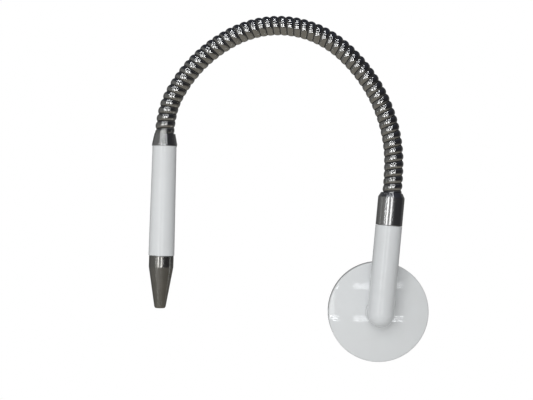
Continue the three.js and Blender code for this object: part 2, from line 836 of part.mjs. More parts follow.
function ledEmitter() {
  const z = boardFront + GAP;
  return turned([[0, z], [3, z], [3, z + 0.8], [1.8, z + 0.8], ...arc(0, z + 1, 1.8, 0, 90, 3)], 10);
}

function switchBody() {
  const front = GRIP_TOP_R + SWITCH_PROUD;
  const bore = BUTTON_R + GAP;
  return turned(
    [
      [0, SWITCH_BACK],
      [SWITCH_R, SWITCH_BACK],
      [SWITCH_R, front],
      [bore, front],
      [bore, SWITCH_BACK + SWITCH_FLOOR],
      [0, SWITCH_BACK + SWITCH_FLOOR],
    ],
    FINE,
  );
}

function switchButton() {
  return turned(
    [
      [0, buttonBack],
      [BUTTON_R, buttonBack],
      [BUTTON_R, buttonFront - 0.5],
      [BUTTON_R - 0.5, buttonFront],
      [0, buttonFront],
    ],
    FINE,
  );
}

class Helix extends THREE.Curve {
  getPoint(t, target = new THREE.Vector3()) {
    const a = 2 * Math.PI * SPRING_TURNS * t;
    const z0 = springBack + SPRING_WIRE;
    const z1 = buttonBack - GAP - SPRING_WIRE;
    return target.set(SPRING_R * Math.cos(a), SPRING_R * Math.sin(a), z0 + (z1 - z0) * t);
  }
}

function swept(curve, radius, sides, steps) {
  const section = new THREE.Shape(
    Array.from({ length: sides }, (_, i) => {
      const a = (2 * Math.PI * i) / sides;
      return new THREE.Vector2(radius * Math.cos(a), radius * Math.sin(a));
    }),
  );
  return new THREE.ExtrudeGeometry(section, { steps, bevelEnabled: false, extrudePath: curve });
}

function buildHead() {
  add(head, "neck_end", neckEnd(), chrome);
  add(head, "head_ferrule", headFerrule(), chrome);
  add(head, "grip_sleeve", gripSleeve(), white);
  add(head, "heat_sink", heatSink(), aluminium);
  add(head, "led_board", rod(BOARD_R, boardBack, boardFront), board);
  add(head, "led_emitter", ledEmitter(), phosphor);
  add(head, "lens_retainer", ring(LENS_R, LENS_R - LENS_SEAT, boardFront + GAP, lensBack - GAP), blackPlastic);
  add(head, "condenser_lens", condenserLens(), clear);
  add(head, "nose_cone", noseCone(), steel);
  add(head, "front_window", rod(WINDOW_R, windowBack, windowFront), clear);
  const sealFront = windowBack - GAP;
  add(head, "window_seal", ring(WINDOW_R, WINDOW_R - 0.9, sealFront - SEAL_THICK, sealFront), greyRubber);
  const press = new THREE.Group(); // local z points out through the grip's wall, towards +Y
  press.position.z = SWITCH_AT;
  press.rotation.x = -Math.PI / 2;
  head.add(press);
  add(press, "switch_body", switchBody(), blackPlastic);
  add(press, "switch_button", switchButton(), greyRubber);
  add(press, "button_spring", swept(new Helix(), SPRING_WIRE, 5, 12 * SPRING_TURNS), steel);
}

// ---------------------------------------------------------------- supply lead
// A route whose steps follow its points, so that tight bends keep their rings.
class Route extends THREE.CatmullRomCurve3 {
  getUtoTmapping(u) {
    return u;
  }
}

function supplyLead() {
  const bendIn = 4;
  const bendOut = 5;
  const points = [];
  const world = (group, x, y, z) => {
    group.updateWorldMatrix(true, false);
    points.push(new THREE.Vector3(x, y, z).applyMatrix4(group.matrixWorld));
  };
  // from the driver, in under the swivel nut and out through the stem
  world(onWall, 0, DRIVER_Y - DRIVER_SIZE[1] / 2 - GAP, leadLevel);
  for (const a of [0, 22.5, 45, 67.5, 90]) {
    world(onWall, 0, bendIn - bendIn * Math.sin(rad(a)), leadLevel + bendIn * (1 - Math.cos(rad(a))));
  }
  world(onWall, 0, 0, (leadLevel + stemFront) / 2);
  // round into the arm, where local -y points out from the wall
  for (const a of [0, 22.5, 45, 67.5, 90]) {
    const out = stemFront + 0.3 - armAxis + bendOut * Math.sin(rad(a));
    world(arm, 0, -out, bendOut * (1 - Math.cos(rad(a))));
  }
  world(arm, 0, -1, 0.4 * ARM_LENGTH);
  for (const share of [0.6, 0.85]) world(arm, 0, 0, share * neckStart);
  // along the neck's middle line
  const neckSteps = 2 * STRETCHES;
  for (let i = 0; i <= neckSteps; i += 1) {
    const { x, z } = neckPoint((neckLength * i) / neckSteps);
    world(root, x, -armAxis, z);
  }
  // down the head to the back of the board
  for (const share of [0.25, 0.5, 0.75, 1]) world(head, 0, 0, share * (boardBack - GAP));
  return swept(new Route(points, false, "centripetal"), LEAD_R, 8, points.length - 1);
}

buildBase();
buildArm();
buildNeck();
buildHead();
add(root, "supply_lead", supplyLead(), leadGrey);

export default root;
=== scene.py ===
"""The looks of a wall-mounted examination lamp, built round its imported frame.

Objects are in metres. A class's own sizes are in millimetres and are turned into metres by MM.
"""

import json
import logging
import math
from dataclasses import dataclass, field
from enum import Enum
from typing import Any, Iterable, Sequence, Union

import bmesh
import bpy
from mathutils import Matrix, Vector

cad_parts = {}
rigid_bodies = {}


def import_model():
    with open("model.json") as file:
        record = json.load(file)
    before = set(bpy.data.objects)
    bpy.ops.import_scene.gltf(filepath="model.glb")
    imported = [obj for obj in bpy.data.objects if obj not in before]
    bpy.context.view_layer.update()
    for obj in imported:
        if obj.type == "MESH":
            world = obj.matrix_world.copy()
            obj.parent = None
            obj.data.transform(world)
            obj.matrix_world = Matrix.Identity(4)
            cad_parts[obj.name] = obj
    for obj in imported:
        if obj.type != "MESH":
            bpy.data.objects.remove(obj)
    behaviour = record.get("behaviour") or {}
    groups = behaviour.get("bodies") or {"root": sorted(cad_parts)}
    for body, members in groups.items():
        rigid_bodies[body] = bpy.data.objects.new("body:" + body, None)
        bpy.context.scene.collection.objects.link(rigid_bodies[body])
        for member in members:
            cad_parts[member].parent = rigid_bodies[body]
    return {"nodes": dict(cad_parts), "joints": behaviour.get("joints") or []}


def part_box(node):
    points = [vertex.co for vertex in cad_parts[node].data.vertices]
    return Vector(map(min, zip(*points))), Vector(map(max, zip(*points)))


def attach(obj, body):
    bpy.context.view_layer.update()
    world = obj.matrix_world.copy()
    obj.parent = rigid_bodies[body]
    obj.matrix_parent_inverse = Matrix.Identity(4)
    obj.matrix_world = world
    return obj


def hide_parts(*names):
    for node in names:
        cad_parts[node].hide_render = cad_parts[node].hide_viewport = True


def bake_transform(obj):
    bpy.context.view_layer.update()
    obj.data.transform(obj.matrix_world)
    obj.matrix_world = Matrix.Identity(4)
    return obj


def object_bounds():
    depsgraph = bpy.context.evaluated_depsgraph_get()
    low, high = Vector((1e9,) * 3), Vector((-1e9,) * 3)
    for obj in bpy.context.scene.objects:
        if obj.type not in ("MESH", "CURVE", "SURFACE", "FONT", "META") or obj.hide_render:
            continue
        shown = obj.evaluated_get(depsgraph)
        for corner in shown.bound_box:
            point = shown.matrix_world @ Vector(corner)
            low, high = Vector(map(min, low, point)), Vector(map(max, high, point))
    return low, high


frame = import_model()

log = logging.getLogger("examination_lamp")

MM = 0.001
CAD_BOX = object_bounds()
FORWARD = Vector((0.0, -1.0, 0.0))  # out of the wall
UP = Vector((0.0, 0.0, 1.0))
RIGHT = Vector((1.0, 0.0, 0.0))

Colour = tuple[float, float, float]
Input = Union["Value", float, Sequence[float]]


# ---------------------------------------------------------------- lines and outlines
@dataclass(frozen=True)
class Axis:
    """A straight line that a piece is turned about.

    Args:
        origin: The point that heights are measured from.
        along: The direction in which heights grow.
        side: A direction that the local x axis leans towards.
    """

    origin: Vector
    along: Vector
    side: Vector = field(default_factory=lambda: FORWARD.copy())

    def matrix(self) -> Matrix:
        """Returns the placement of a mesh made about the local z axis."""
        z = self.along.normalized()
        x = (self.side - z * self.side.dot(z)).normalized()
        turned_to = Matrix((x, z.cross(x), z)).transposed().to_4x4()
        turned_to.translation = self.origin
        return turned_to

    def at(self, height: float) -> Vector:
        """Returns the point at a height in metres."""
        return self.origin + self.along.normalized() * height


@dataclass(frozen=True)
class Corner:
    """One corner of an outline: its radius, its height and the radius that rounds it, in millimetres."""

    radius: float
    height: float
    rounding: float = 0.0


class Outline:
    """The half section of a turned piece, as corners that may be rounded."""

    ARC_STEP = math.radians(11.0)

    def __init__(self, *corners: Corner, closed: bool = True) -> None:
        """Keeps the corners.

        Args:
            corners: The corners in order.
            closed: Whether the last corner joins the first, as in a hollow piece.
        """
        self.corners = corners
        self.closed = closed

    def points(self) -> list[Vector]:
        """Returns the outline in metres, in the local xz plane, with its arcs."""
        found: list[Vector] = []
        count = len(self.corners)
        for i, corner in enumerate(self.corners):
            here = Vector((corner.radius, corner.height))
            ends = not self.closed and i in (0, count - 1)
            if corner.rounding <= 0.0 or ends:
                found.append(here)
                continue
            before, after = (self.corners[(i + step) % count] for step in (-1, 1))
            back = Vector((before.radius, before.height)) - here
            ahead = Vector((after.radius, after.height)) - here
            found += self._arc(here, back, ahead, corner.rounding)
        return [Vector((p.x * MM, 0.0, p.y * MM)) for p in found]

    def _arc(self, here: Vector, back: Vector, ahead: Vector, rounding: float) -> list[Vector]:
        """Returns the points that round one corner.

        Args:
            here: The corner.
            back: The way from it to the corner before.
            ahead: The way from it to the corner after.
            rounding: The radius, made smaller where a side is too short for it.
        """
        inner = back.angle(ahead)
        if inner > math.pi - 1e-3:
            return [here]
        reach = min(rounding / math.tan(inner / 2), 0.48 * back.length, 0.48 * ahead.length)
        radius = reach * math.tan(inner / 2)
        middle = here + (back.normalized() + ahead.normalized()).normalized() * (radius / math.sin(inner / 2))
        start = here + back.normalized() * reach - middle
        turn = math.pi - inner
        if start.x * ahead.y - start.y * ahead.x < 0.0:
            turn = -turn
        steps = max(2, math.ceil(abs(turn) / self.ARC_STEP))
        return [middle + Matrix.Rotation(turn * k / steps, 2) @ start for k in range(steps + 1)]


class Route:
    """A smooth flat line through knots, measured along its own length."""

    STEPS = 16

    def __init__(self, knots: Sequence[Vector], side: Vector) -> None:
        """Lays the line.

        Args:
            knots: The points that it passes, in order, in metres.
            side: The direction square to the plane that they lie in.
        """
        self.side = side.normalized()
        self.knots = [Vector(k) for k in knots]
        last = len(self.knots) - 1
        self.headings = [
            (self.knots[min(i + 1, last)] - self.knots[max(i - 1, 0)]).normalized() for i in range(last + 1)
        ]
        self.lengths = [0.0]
        for i in range(last):
            for step in range(self.STEPS):
                chord = self._span(i, (step + 1) / self.STEPS)[0] - self._span(i, step / self.STEPS)[0]
                self.lengths.append(self.lengths[-1] + chord.length)

    def _span(self, i: int, t: float) -> tuple[Vector, Vector]:
        """Returns the point and the heading at share t of the way from knot i to the next."""
        a, b = self.knots[i], self.knots[i + 1]
        reach = (b - a).length
        ta, tb = self.headings[i] * reach, self.headings[i + 1] * reach
        point = (
            a * (2 * t**3 - 3 * t**2 + 1) + ta * (t**3 - 2 * t**2 + t) + b * (3 * t**2 - 2 * t**3) + tb * (t**3 - t**2)
        )
        heading = a * (6 * t**2 - 6 * t) + ta * (3 * t**2 - 4 * t + 1) + b * (6 * t - 6 * t**2) + tb * (3 * t**2 - 2 * t)
        return point, heading.normalized()

    def knot_length(self, knot: int) -> float:
        """Returns how far along the line a knot is."""
        return self.lengths[knot * self.STEPS]

    @property
    def length(self) -> float:
        """The whole length."""
        return self.lengths[-1]

    def at(self, distance: float) -> tuple[Vector, Vector]:
        """Returns the point and heading at a distance, straight on past either end."""
        low, high = 0, len(self.lengths) - 1
        held = min(max(distance, 0.0), self.length)
        while high - low > 1:
            middle = (low + high) // 2
            low, high = (middle, high) if self.lengths[middle] <= held else (low, middle)
        share = (held - self.lengths[low]) / (self.lengths[low + 1] - self.lengths[low])
        point, heading = self._span(low // self.STEPS, (low % self.STEPS + share) / self.STEPS)
        return point + heading * (distance - held), heading

    def place(self, local: Vector) -> Vector:
        """Returns where a point of a straight piece along z goes when the piece follows the line."""
        point, heading = self.at(local.z)
        return point + self.side.cross(heading) * local.x + self.side * local.y

    def outward(self, distance: float, reach: float = 4 * MM) -> Vector:
        """Returns the direction away from the bend's centre, as long as the bend is sharp (1/m)."""
        return (self.at(distance - reach)[1] - self.at(distance + reach)[1]) / (2 * reach)


# ---------------------------------------------------------------- meshes
def turned(outline: Outline, axis: Axis, steps: int = 96) -> bmesh.types.BMesh:
    """Spins an outline into a closed solid.

    Args:
        outline: The half section.
        axis: The line that it turns about.
        steps: How many facets go round.

    Returns:
        The solid, in place.
    """
    bm = bmesh.new()
    verts = [bm.verts.new(p) for p in outline.points()]
    pairs = list(zip(verts, verts[1:]))
    if outline.closed:
        pairs.append((verts[-1], verts[0]))
    edges = [bm.edges.new(pair) for pair in pairs]
    bmesh.ops.spin(
        bm, geom=verts + edges, cent=(0, 0, 0), axis=(0, 0, 1), angle=2 * math.pi, steps=steps, use_merge=True
    )
    bmesh.ops.remove_doubles(bm, verts=bm.verts, dist=1e-6)
    bmesh.ops.recalc_face_normals(bm, faces=bm.faces)
    bmesh.ops.transform(bm, matrix=axis.matrix(), verts=bm.verts)
    return bm


def rod(axis: Axis, radius: float, start: float, end: float, steps: int = 48) -> bmesh.types.BMesh:
    """Returns a plain round bar, to carve with. Sizes are in millimetres."""
    corners = (Corner(0, start), Corner(radius, start), Corner(radius, end), Corner(0, end))
    return turned(Outline(*corners, closed=False), axis, steps)


def bar(axis: Axis, width: float, depth: float, start: float, end: float) -> bmesh.types.BMesh:
    """Returns a plain square bar, to carve with. Sizes are in millimetres."""
    bm = bmesh.new()
    bmesh.ops.create_cube(bm, size=1.0)
    shape = Matrix.Translation((0, 0, (start + end) / 2 * MM)) @ Matrix.Diagonal(
        (width * MM, depth * MM, (end - start) * MM, 1.0)
    )
    bmesh.ops.transform(bm, matrix=axis.matrix() @ shape, verts=bm.verts)
    return bm


def stand_in(bm: bmesh.types.BMesh, name: str) -> bpy.types.Object:
    """Puts a bmesh into the scene under a name and frees it."""
    mesh = bpy.data.meshes.new(name)
    bm.to_mesh(mesh)
    bm.free()
    obj = bpy.data.objects.new(name, mesh)
    bpy.context.scene.collection.objects.link(obj)
    return obj


def carve(obj: bpy.types.Object, cutters: Iterable[bmesh.types.BMesh]) -> None:
    """Cuts each cutter out of a piece and removes the cutters."""
    for bm in cutters:
        cutter = stand_in(bm, "cutter")
        cut = obj.modifiers.new("carve", "BOOLEAN")
        cut.operation, cut.solver, cut.object = "DIFFERENCE", "EXACT", cutter
        bpy.context.view_layer.update()
        mesh = bpy.data.meshes.new_from_object(obj.evaluated_get(bpy.context.evaluated_depsgraph_get()))
        obj.modifiers.clear()
        obj.data = mesh
        bpy.data.objects.remove(cutter)


def smooth(obj: bpy.types.Object, crease: float = 34.0) -> None:
    """Shades a piece smooth, except over edges sharper than crease degrees."""
    obj.data.polygons.foreach_set("use_smooth", [True] * len(obj.data.polygons))
    obj.data.set_sharp_from_angle(angle=math.radians(crease))
    weighted = obj.modifiers.new("even_normals", "WEIGHTED_NORMAL")
    weighted.keep_sharp = True


# ---------------------------------------------------------------- shader maths
class Value:
    """A value in a node tree. Python's operators on it add Math nodes."""

    def __init__(self, net: "Net", socket: bpy.types.NodeSocket) -> None:
        """Keeps the tree and the socket that gives the value."""
        self.net = net
        self.socket = socket

    def _math(self, operation: str, *parts: Input) -> "Value":
        """Returns a Math node's result."""
        return self.net.node("ShaderNodeMath", {"operation": operation}, dict(enumerate(parts)))

    def __add__(self, other: Input) -> "Value":
        """Sum."""
        return self._math("ADD", self, other)

    __radd__ = __add__

    def __sub__(self, other: Input) -> "Value":
        """Difference."""
        return self._math("SUBTRACT", self, other)

    def __rsub__(self, other: Input) -> "Value":
        """Difference, the other way round."""
        return self._math("SUBTRACT", other, self)

    def __mul__(self, other: Input) -> "Value":
        """Product."""
        return self._math("MULTIPLY", self, other)

    __rmul__ = __mul__

    def __pow__(self, other: Input) -> "Value":
        """Power."""
        return self._math("POWER", self, other)

    def __or__(self, other: Input) -> "Value":
        """The larger of two."""
        return self._math("MAXIMUM", self, other)

    def rise(self, low: float, high: float) -> "Value":
        """Returns 0 up to low, 1 from high, and a smooth step between."""
        return self.net.node(
            "ShaderNodeMapRange",
            {"interpolation_type": "SMOOTHSTEP"},
            {"Value": self, "From Min": low, "From Max": high},
        )

    def spread(self, low: float, high: float) -> "Value":
        """Returns low where this is 0 and high where it is 1."""
        return self * (high - low) + low


class Net:
    """A node tree that is written as expressions."""

    def __init__(self, tree: bpy.types.NodeTree) -> None:
        """Empties the tree."""
        self.tree = tree
        tree.nodes.clear()

    def node(
        self, kind: str, settings: dict[str, Any] | None = None, inputs: dict[Any, Input] | None = None, output: Any = 0
    ) -> Value:
        """Adds a node.

        Args:
            kind: Its type.
            settings: Its properties, set before its sockets.
            inputs: Values or links for its sockets, by name or place.
            output: Which output to return.

        Returns:
            That output.
        """
        made = self.tree.nodes.new(kind)
        for key, value in (settings or {}).items():
            setattr(made, key, value)
        for key, value in (inputs or {}).items():
            socket = made.inputs[key]
            if isinstance(value, Value):
                self.tree.links.new(value.socket, socket)
            elif socket.type == "RGBA":
                socket.default_value = (*value, 1.0)
            else:
                socket.default_value = value
        return Value(self, made.outputs[output] if made.outputs else None)

    def coords(self) -> Value:
        """Returns Object coordinates."""
        return self.node("ShaderNodeTexCoord", output="Object")

    def vector(self, operation: str, *parts: Input) -> Value:
        """Returns a Vector Math node's result."""
        return self.node("ShaderNodeVectorMath", {"operation": operation}, dict(enumerate(parts)))

    def noise(self, scale: float, detail: float = 3.0, coords: Value | None = None, distortion: float = 0.0) -> Value:
        """Returns noise of about 0.5, at a scale per metre."""
        sockets = {"Vector": coords or self.coords(), "Scale": scale, "Detail": detail, "Distortion": distortion}
        return self.node("ShaderNodeTexNoise", {}, sockets)

    def mix(self, share: Input, first: Input, second: Input) -> Value:
        """Returns a colour between two."""
        return self.node("ShaderNodeMix", {"data_type": "RGBA"}, {0: share, 6: first, 7: second}, output=2)

    def bump(self, height: Value, strength: float, relief: float) -> Value:
        """Returns a normal from heights, relief metres deep."""
        return self.node("ShaderNodeBump", {}, {"Strength": strength, "Distance": relief, "Height": height})

    def along_axis(self, axis: Axis) -> Value:
        """Returns Object coordinates turned so that z runs along an axis."""
        local = axis.matrix().inverted()
        return self.node(
            "ShaderNodeMapping",
            {},
            {"Vector": self.coords(), "Location": local.translation, "Rotation": tuple(local.to_euler())},
        )

    def surface(self, inputs: dict[str, Input]) -> None:
        """Ends the tree in a Principled shader with these sockets."""
        shader = self.node("ShaderNodeBsdfPrincipled", {}, inputs)
        self.node("ShaderNodeOutputMaterial", {}, {"Surface": shader})


# ---------------------------------------------------------------- finishes
class Grain(Enum):
    """Which way the fine marks on a metal run."""

    CLOUDED = "clouded"
    POLISHED = "polished"
    LENGTHWISE = "lengthwise"


@dataclass(frozen=True)
class Finish:
    """A finish that makes its own material. Its slot is the record's name for it."""

    slot: str

    def material(self) -> bpy.types.Material:
        """Returns the material, made once."""
        name = f"finish_{self.slot}"
        found = bpy.data.materials.get(name)
        if found is None:
            found = bpy.data.materials.new(name)
            found.use_nodes = True
            self.shade(Net(found.node_tree))
        return found

    def shade(self, net: Net) -> None:
        """Writes the material's nodes."""
        raise NotImplementedError


@dataclass(frozen=True)
class Gloss(Finish):
    """Hard glossy paint or plastic: a faint flow texture, dulled and yellowed a little in patches."""

    colour: Colour
    worn: Colour
    roughness: tuple[float, float] = (0.03, 0.06)
    peel: float = 420.0

    def shade(self, net: Net) -> None:
        """Writes the material's nodes."""
        patches = net.noise(26.0, 5.0, distortion=0.4).rise(0.42, 0.72)
        specks = net.noise(2600.0, 1.0).rise(0.66, 0.76)
        smears = net.noise(70.0, 6.0, distortion=1.5).rise(0.35, 0.75)
        colour = net.mix(patches * 0.45 + specks * 0.3, self.colour, self.worn)
        flow = net.noise(self.peel, 2.0) + net.noise(self.peel * 5, 2.0) * 0.18
        net.surface(
            {
                "Base Color": colour,
                "Roughness": (smears * 0.7 + specks * 0.3).spread(*self.roughness),
                "Normal": net.bump(flow, 0.06, 0.02 * MM),
                "IOR": 1.5,
            }
        )


@dataclass(frozen=True)
class Metal(Finish):
    """A bare or plated metal with marks of its making."""

    bright: Colour
    dull: Colour
    roughness: tuple[float, float]
    grain: Grain = Grain.CLOUDED
    cloud: float = 90.0
    axis: Axis | None = None

    def shade(self, net: Net) -> None:
        """Writes the material's nodes."""
        clouds = net.noise(self.cloud, 3.0, distortion=0.4).rise(0.34, 0.7)
        if self.grain is Grain.LENGTHWISE:
            lines, coarse = self._lines(net, 190.0), self._lines(net, 46.0)
            marks = lines * 0.65 + coarse * 0.35
            strength, relief = 0.25, 0.012 * MM
        elif self.grain is Grain.POLISHED:
            marks = net.noise(900.0, 3.0, distortion=2.0)
            strength, relief = 0.02, 0.002 * MM
        else:
            marks = net.node("ShaderNodeTexVoronoi", {}, {"Vector": net.coords(), "Scale": 1100.0}, "Distance")
            strength, relief = 0.25, 0.03 * MM
        shade = clouds * 0.45 + marks.rise(0.3, 0.7) * 0.55
        net.surface(
            {
                "Base Color": net.mix(shade, self.bright, self.dull),
                "Roughness": shade.spread(*self.roughness),
                "Normal": net.bump(marks, strength, relief),
                "Metallic": 1.0,
            }
        )

    def _lines(self, net: Net, count: float) -> Value:
        """Returns fine lines along the axis, about count to a radian, broken now and then."""
        local = net.along_axis(self.axis)
        round_it = net.vector("NORMALIZE", net.vector("MULTIPLY", local, (1.0, 1.0, 0.0)))
        spaced = net.vector("MULTIPLY", round_it, (count, count, 0.0))
        drawn = net.vector("MULTIPLY", local, (0.0, 0.0, 60.0))
        return net.noise(1.0, 2.0, net.vector("ADD", spaced, drawn))


@dataclass(frozen=True)
class NeckChrome(Finish):
    """Chrome over a wound strip: painted shade in the grooves, fine drawing marks and dull patches."""

    bright: Colour
    dull: Colour
    # the near-black colour of the painted shade in the grooves
    painted_shade_colour: Colour

    def shade(self, net: Net) -> None:
        """Writes the material's nodes."""
        groove = net.node("ShaderNodeAttribute", {"attribute_name": Gooseneck.GROOVE}, output="Fac")
        # painted shade: the groove bottoms go near black, less metallic and rougher, mottled by noise
        painted_groove_shade = (groove * (net.noise(380.0, 4.0).rise(0.2, 0.6) * 0.35 + 0.65)).rise(0.18, 0.62)
        patches = net.noise(160.0, 5.0, distortion=1.0).rise(0.4, 0.72)
        plated = net.mix(patches * 0.6, self.bright, self.dull)
        marks = net.noise(1500.0, 2.0, distortion=1.0)
        net.surface(
            {
                "Base Color": net.mix(painted_groove_shade, plated, self.painted_shade_colour),
                "Roughness": painted_groove_shade * 0.4 + patches.spread(0.07, 0.16),
                "Metallic": 1.0 - painted_groove_shade * 0.5,
                "Normal": net.bump(marks, 0.1, 0.012 * MM),
            }
        )


@dataclass(frozen=True)
class Moulded(Finish):
    """Plastic, rubber or a cable's sheath: spark-etched grain and rubbed spots."""

    colour: Colour
    rubbed: Colour
    roughness: tuple[float, float] = (0.45, 0.65)
    etch: float = 1400.0

    def shade(self, net: Net) -> None:
        """Writes the material's nodes."""
        rubbed = net.noise(120.0, 4.0, distortion=0.6).rise(0.45, 0.7)
        grain = net.node("ShaderNodeTexVoronoi", {}, {"Vector": net.coords(), "Scale": self.etch}, "Distance")
        net.surface(
            {
                "Base Color": net.mix(rubbed * 0.6 + grain * 0.25, self.colour, self.rubbed),
                "Roughness": (1.0 - rubbed).spread(*self.roughness),
                "Normal": net.bump(grain, 0.3, 0.04 * MM),
            }
        )


@dataclass(frozen=True)
class CircuitBoard(Finish):
    """White solder mask with tinned pads."""

    mask: Colour = (0.78, 0.79, 0.76)
    tin: Colour = (0.55, 0.54, 0.5)

    def shade(self, net: Net) -> None:
        """Writes the material's nodes."""
        cells = net.node("ShaderNodeTexVoronoi", {"distance": "CHEBYCHEV"}, {"Vector": net.coords(), "Scale": 330.0})
        pads = 1.0 - cells.rise(0.16, 0.2)
        net.surface(
            {
                "Base Color": net.mix(pads, self.mask, self.tin),
                "Metallic": pads * 0.9,
                "Roughness": (net.noise(600.0) * 0.5 + pads * 0.3).spread(0.2, 0.5),
                "Normal": net.bump(pads, 0.4, 0.03 * MM),
            }
        )


@dataclass(frozen=True)
class Phosphor(Finish):
    """The yellow layer over the light's chip, cloudy under its dome."""

    deep: Colour = (0.8, 0.58, 0.07)
    pale: Colour = (0.86, 0.74, 0.3)

    def shade(self, net: Net) -> None:
        """Writes the material's nodes."""
        cloud = net.noise(900.0, 4.0).rise(0.35, 0.65)
        net.surface(
            {
                "Base Color": net.mix(cloud, self.deep, self.pale),
                "Roughness": cloud.spread(0.25, 0.4),
                "Normal": net.bump(cloud, 0.15, 0.02 * MM),
                "Coat Weight": 0.5,
            }
        )


@dataclass(frozen=True)
class ClearOptic(Finish):
    """Optical plastic: clear, with a trace of dust and wipe marks."""

    tint: Colour = (0.97, 0.985, 0.98)
    dusty: Colour = (0.86, 0.87, 0.86)

    def shade(self, net: Net) -> None:
        """Writes the material's nodes."""
        dust = net.noise(3200.0, 2.0).rise(0.62, 0.74)
        wipes = net.noise(180.0, 5.0, distortion=2.5).rise(0.4, 0.75)
        net.surface(
            {
                "Base Color": net.mix(dust * 0.5 + wipes * 0.2, self.tint, self.dusty),
                "Roughness": (dust * 0.6 + wipes * 0.4).spread(0.02, 0.16),
                "Normal": net.bump(wipes, 0.05, 0.01 * MM),
                "Transmission Weight": 0.92,
                "IOR": 1.49,
            }
        )


# ---------------------------------------------------------------- the frame's own lines
NECK_JOINTS = [j for j in frame["joints"] if j["name"].startswith("neck_")]
JOINT_POINTS = [Vector(j["pos_m"]) for j in NECK_JOINTS]
ARM_DEPTH = JOINT_POINTS[0].y
WALL_AXIS = Axis(Vector((0, 0, 0)), FORWARD, RIGHT)
ARM_AXIS = Axis(Vector((0, ARM_DEPTH, 0)), JOINT_POINTS[0] - Vector((0, ARM_DEPTH, 0)))


def middle(node: str) -> Vector:
    """Returns the middle of a CAD node's box."""
    low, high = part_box(node)
    return (low + high) / 2


WINDOW_AT = 165.3  # millimetres from the ferrule's mouth to the middle of the front window
HEAD_WAY = (middle("front_window") - JOINT_POINTS[-1]).normalized()
HEAD_AXIS = Axis(middle("front_window") - HEAD_WAY * WINDOW_AT * MM, HEAD_WAY)

FINISHES: dict[str, Finish] = {
    f.slot: f
    for f in (
        Gloss("white_gloss", (0.77, 0.79, 0.8), (0.735, 0.75, 0.75)),
        Gloss("white_enamel", (0.75, 0.772, 0.785), (0.715, 0.73, 0.735), (0.08, 0.14), 300.0),
        Metal("chrome", (0.62, 0.62, 0.62), (0.59, 0.59, 0.585), (0.2, 0.215), Grain.POLISHED),
        # the third colour is the painted shade at the bottoms of the neck's grooves
        NeckChrome("chrome_neck", (0.56, 0.56, 0.55), (0.42, 0.415, 0.4), (0.025, 0.024, 0.022)),
        Metal(
            "brushed_steel", (0.46, 0.45, 0.43), (0.35, 0.342, 0.32), (0.2, 0.26), Grain.LENGTHWISE, axis=HEAD_AXIS
        ),
        Metal("zinc_plate", (0.6, 0.61, 0.62), (0.46, 0.47, 0.47), (0.3, 0.5)),
        Metal("zinc_screw", (0.62, 0.62, 0.6), (0.48, 0.48, 0.45), (0.22, 0.42), cloud=400.0),
        Metal("brass", (0.78, 0.6, 0.28), (0.6, 0.44, 0.2), (0.22, 0.4), cloud=200.0),
        Metal("aluminium", (0.72, 0.73, 0.74), (0.6, 0.6, 0.61), (0.3, 0.48), cloud=200.0),
        Metal("spring_steel", (0.5, 0.5, 0.49), (0.38, 0.37, 0.36), (0.2, 0.35), cloud=500.0),
        Moulded("nylon", (0.76, 0.74, 0.68), (0.68, 0.65, 0.57), (0.35, 0.5)),
        Moulded("black_plastic", (0.022, 0.022, 0.024), (0.06, 0.06, 0.06)),
        Moulded("lead_sheath", (0.2, 0.2, 0.205), (0.28, 0.28, 0.28), (0.4, 0.6)),
        Moulded("grey_rubber", (0.13, 0.135, 0.14), (0.2, 0.2, 0.2), (0.6, 0.8), 2200.0),
        CircuitBoard("board"),
        Phosphor("phosphor"),
        ClearOptic("clear_optic"),
    )
}


class Piece:
    """A finished piece of the object."""

    def __init__(self, name: str, shape: bmesh.types.BMesh, slot: str, *stands_for: str) -> None:
        """Puts the shape into the scene with its finish.

        Args:
            name: The piece's name.
            shape: Its mesh, which is freed.
            slot: The record's material slot.
            stands_for: The CAD nodes that it is shown in place of.
        """
        self.obj = stand_in(shape, name)
        self.slot = slot
        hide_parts(*stands_for)

    def carve(self, *cutters: bmesh.types.BMesh) -> "Piece":
        """Cuts holes."""
        carve(self.obj, cutters)
        return self

    def dress(self, even: bool = True) -> "Piece":
        """Gives the material, and smooth shading if even is set."""
        self.obj.data.materials.clear()
        self.obj.data.materials.append(FINISHES[self.slot].material())
        if even:
            smooth(self.obj)
        log.info("%s: %d faces, %s", self.obj.name, len(self.obj.data.polygons), self.slot)
        return self

    def ride(self, body: str) -> "Piece":
        """Makes it move with a body."""
        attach(self.obj, body)
        return self

    def blend(self, first: str, second: str, start: Vector, end: Vector) -> "Piece":
        """Bakes its placement into its mesh."""
        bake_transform(self.obj)
        return self


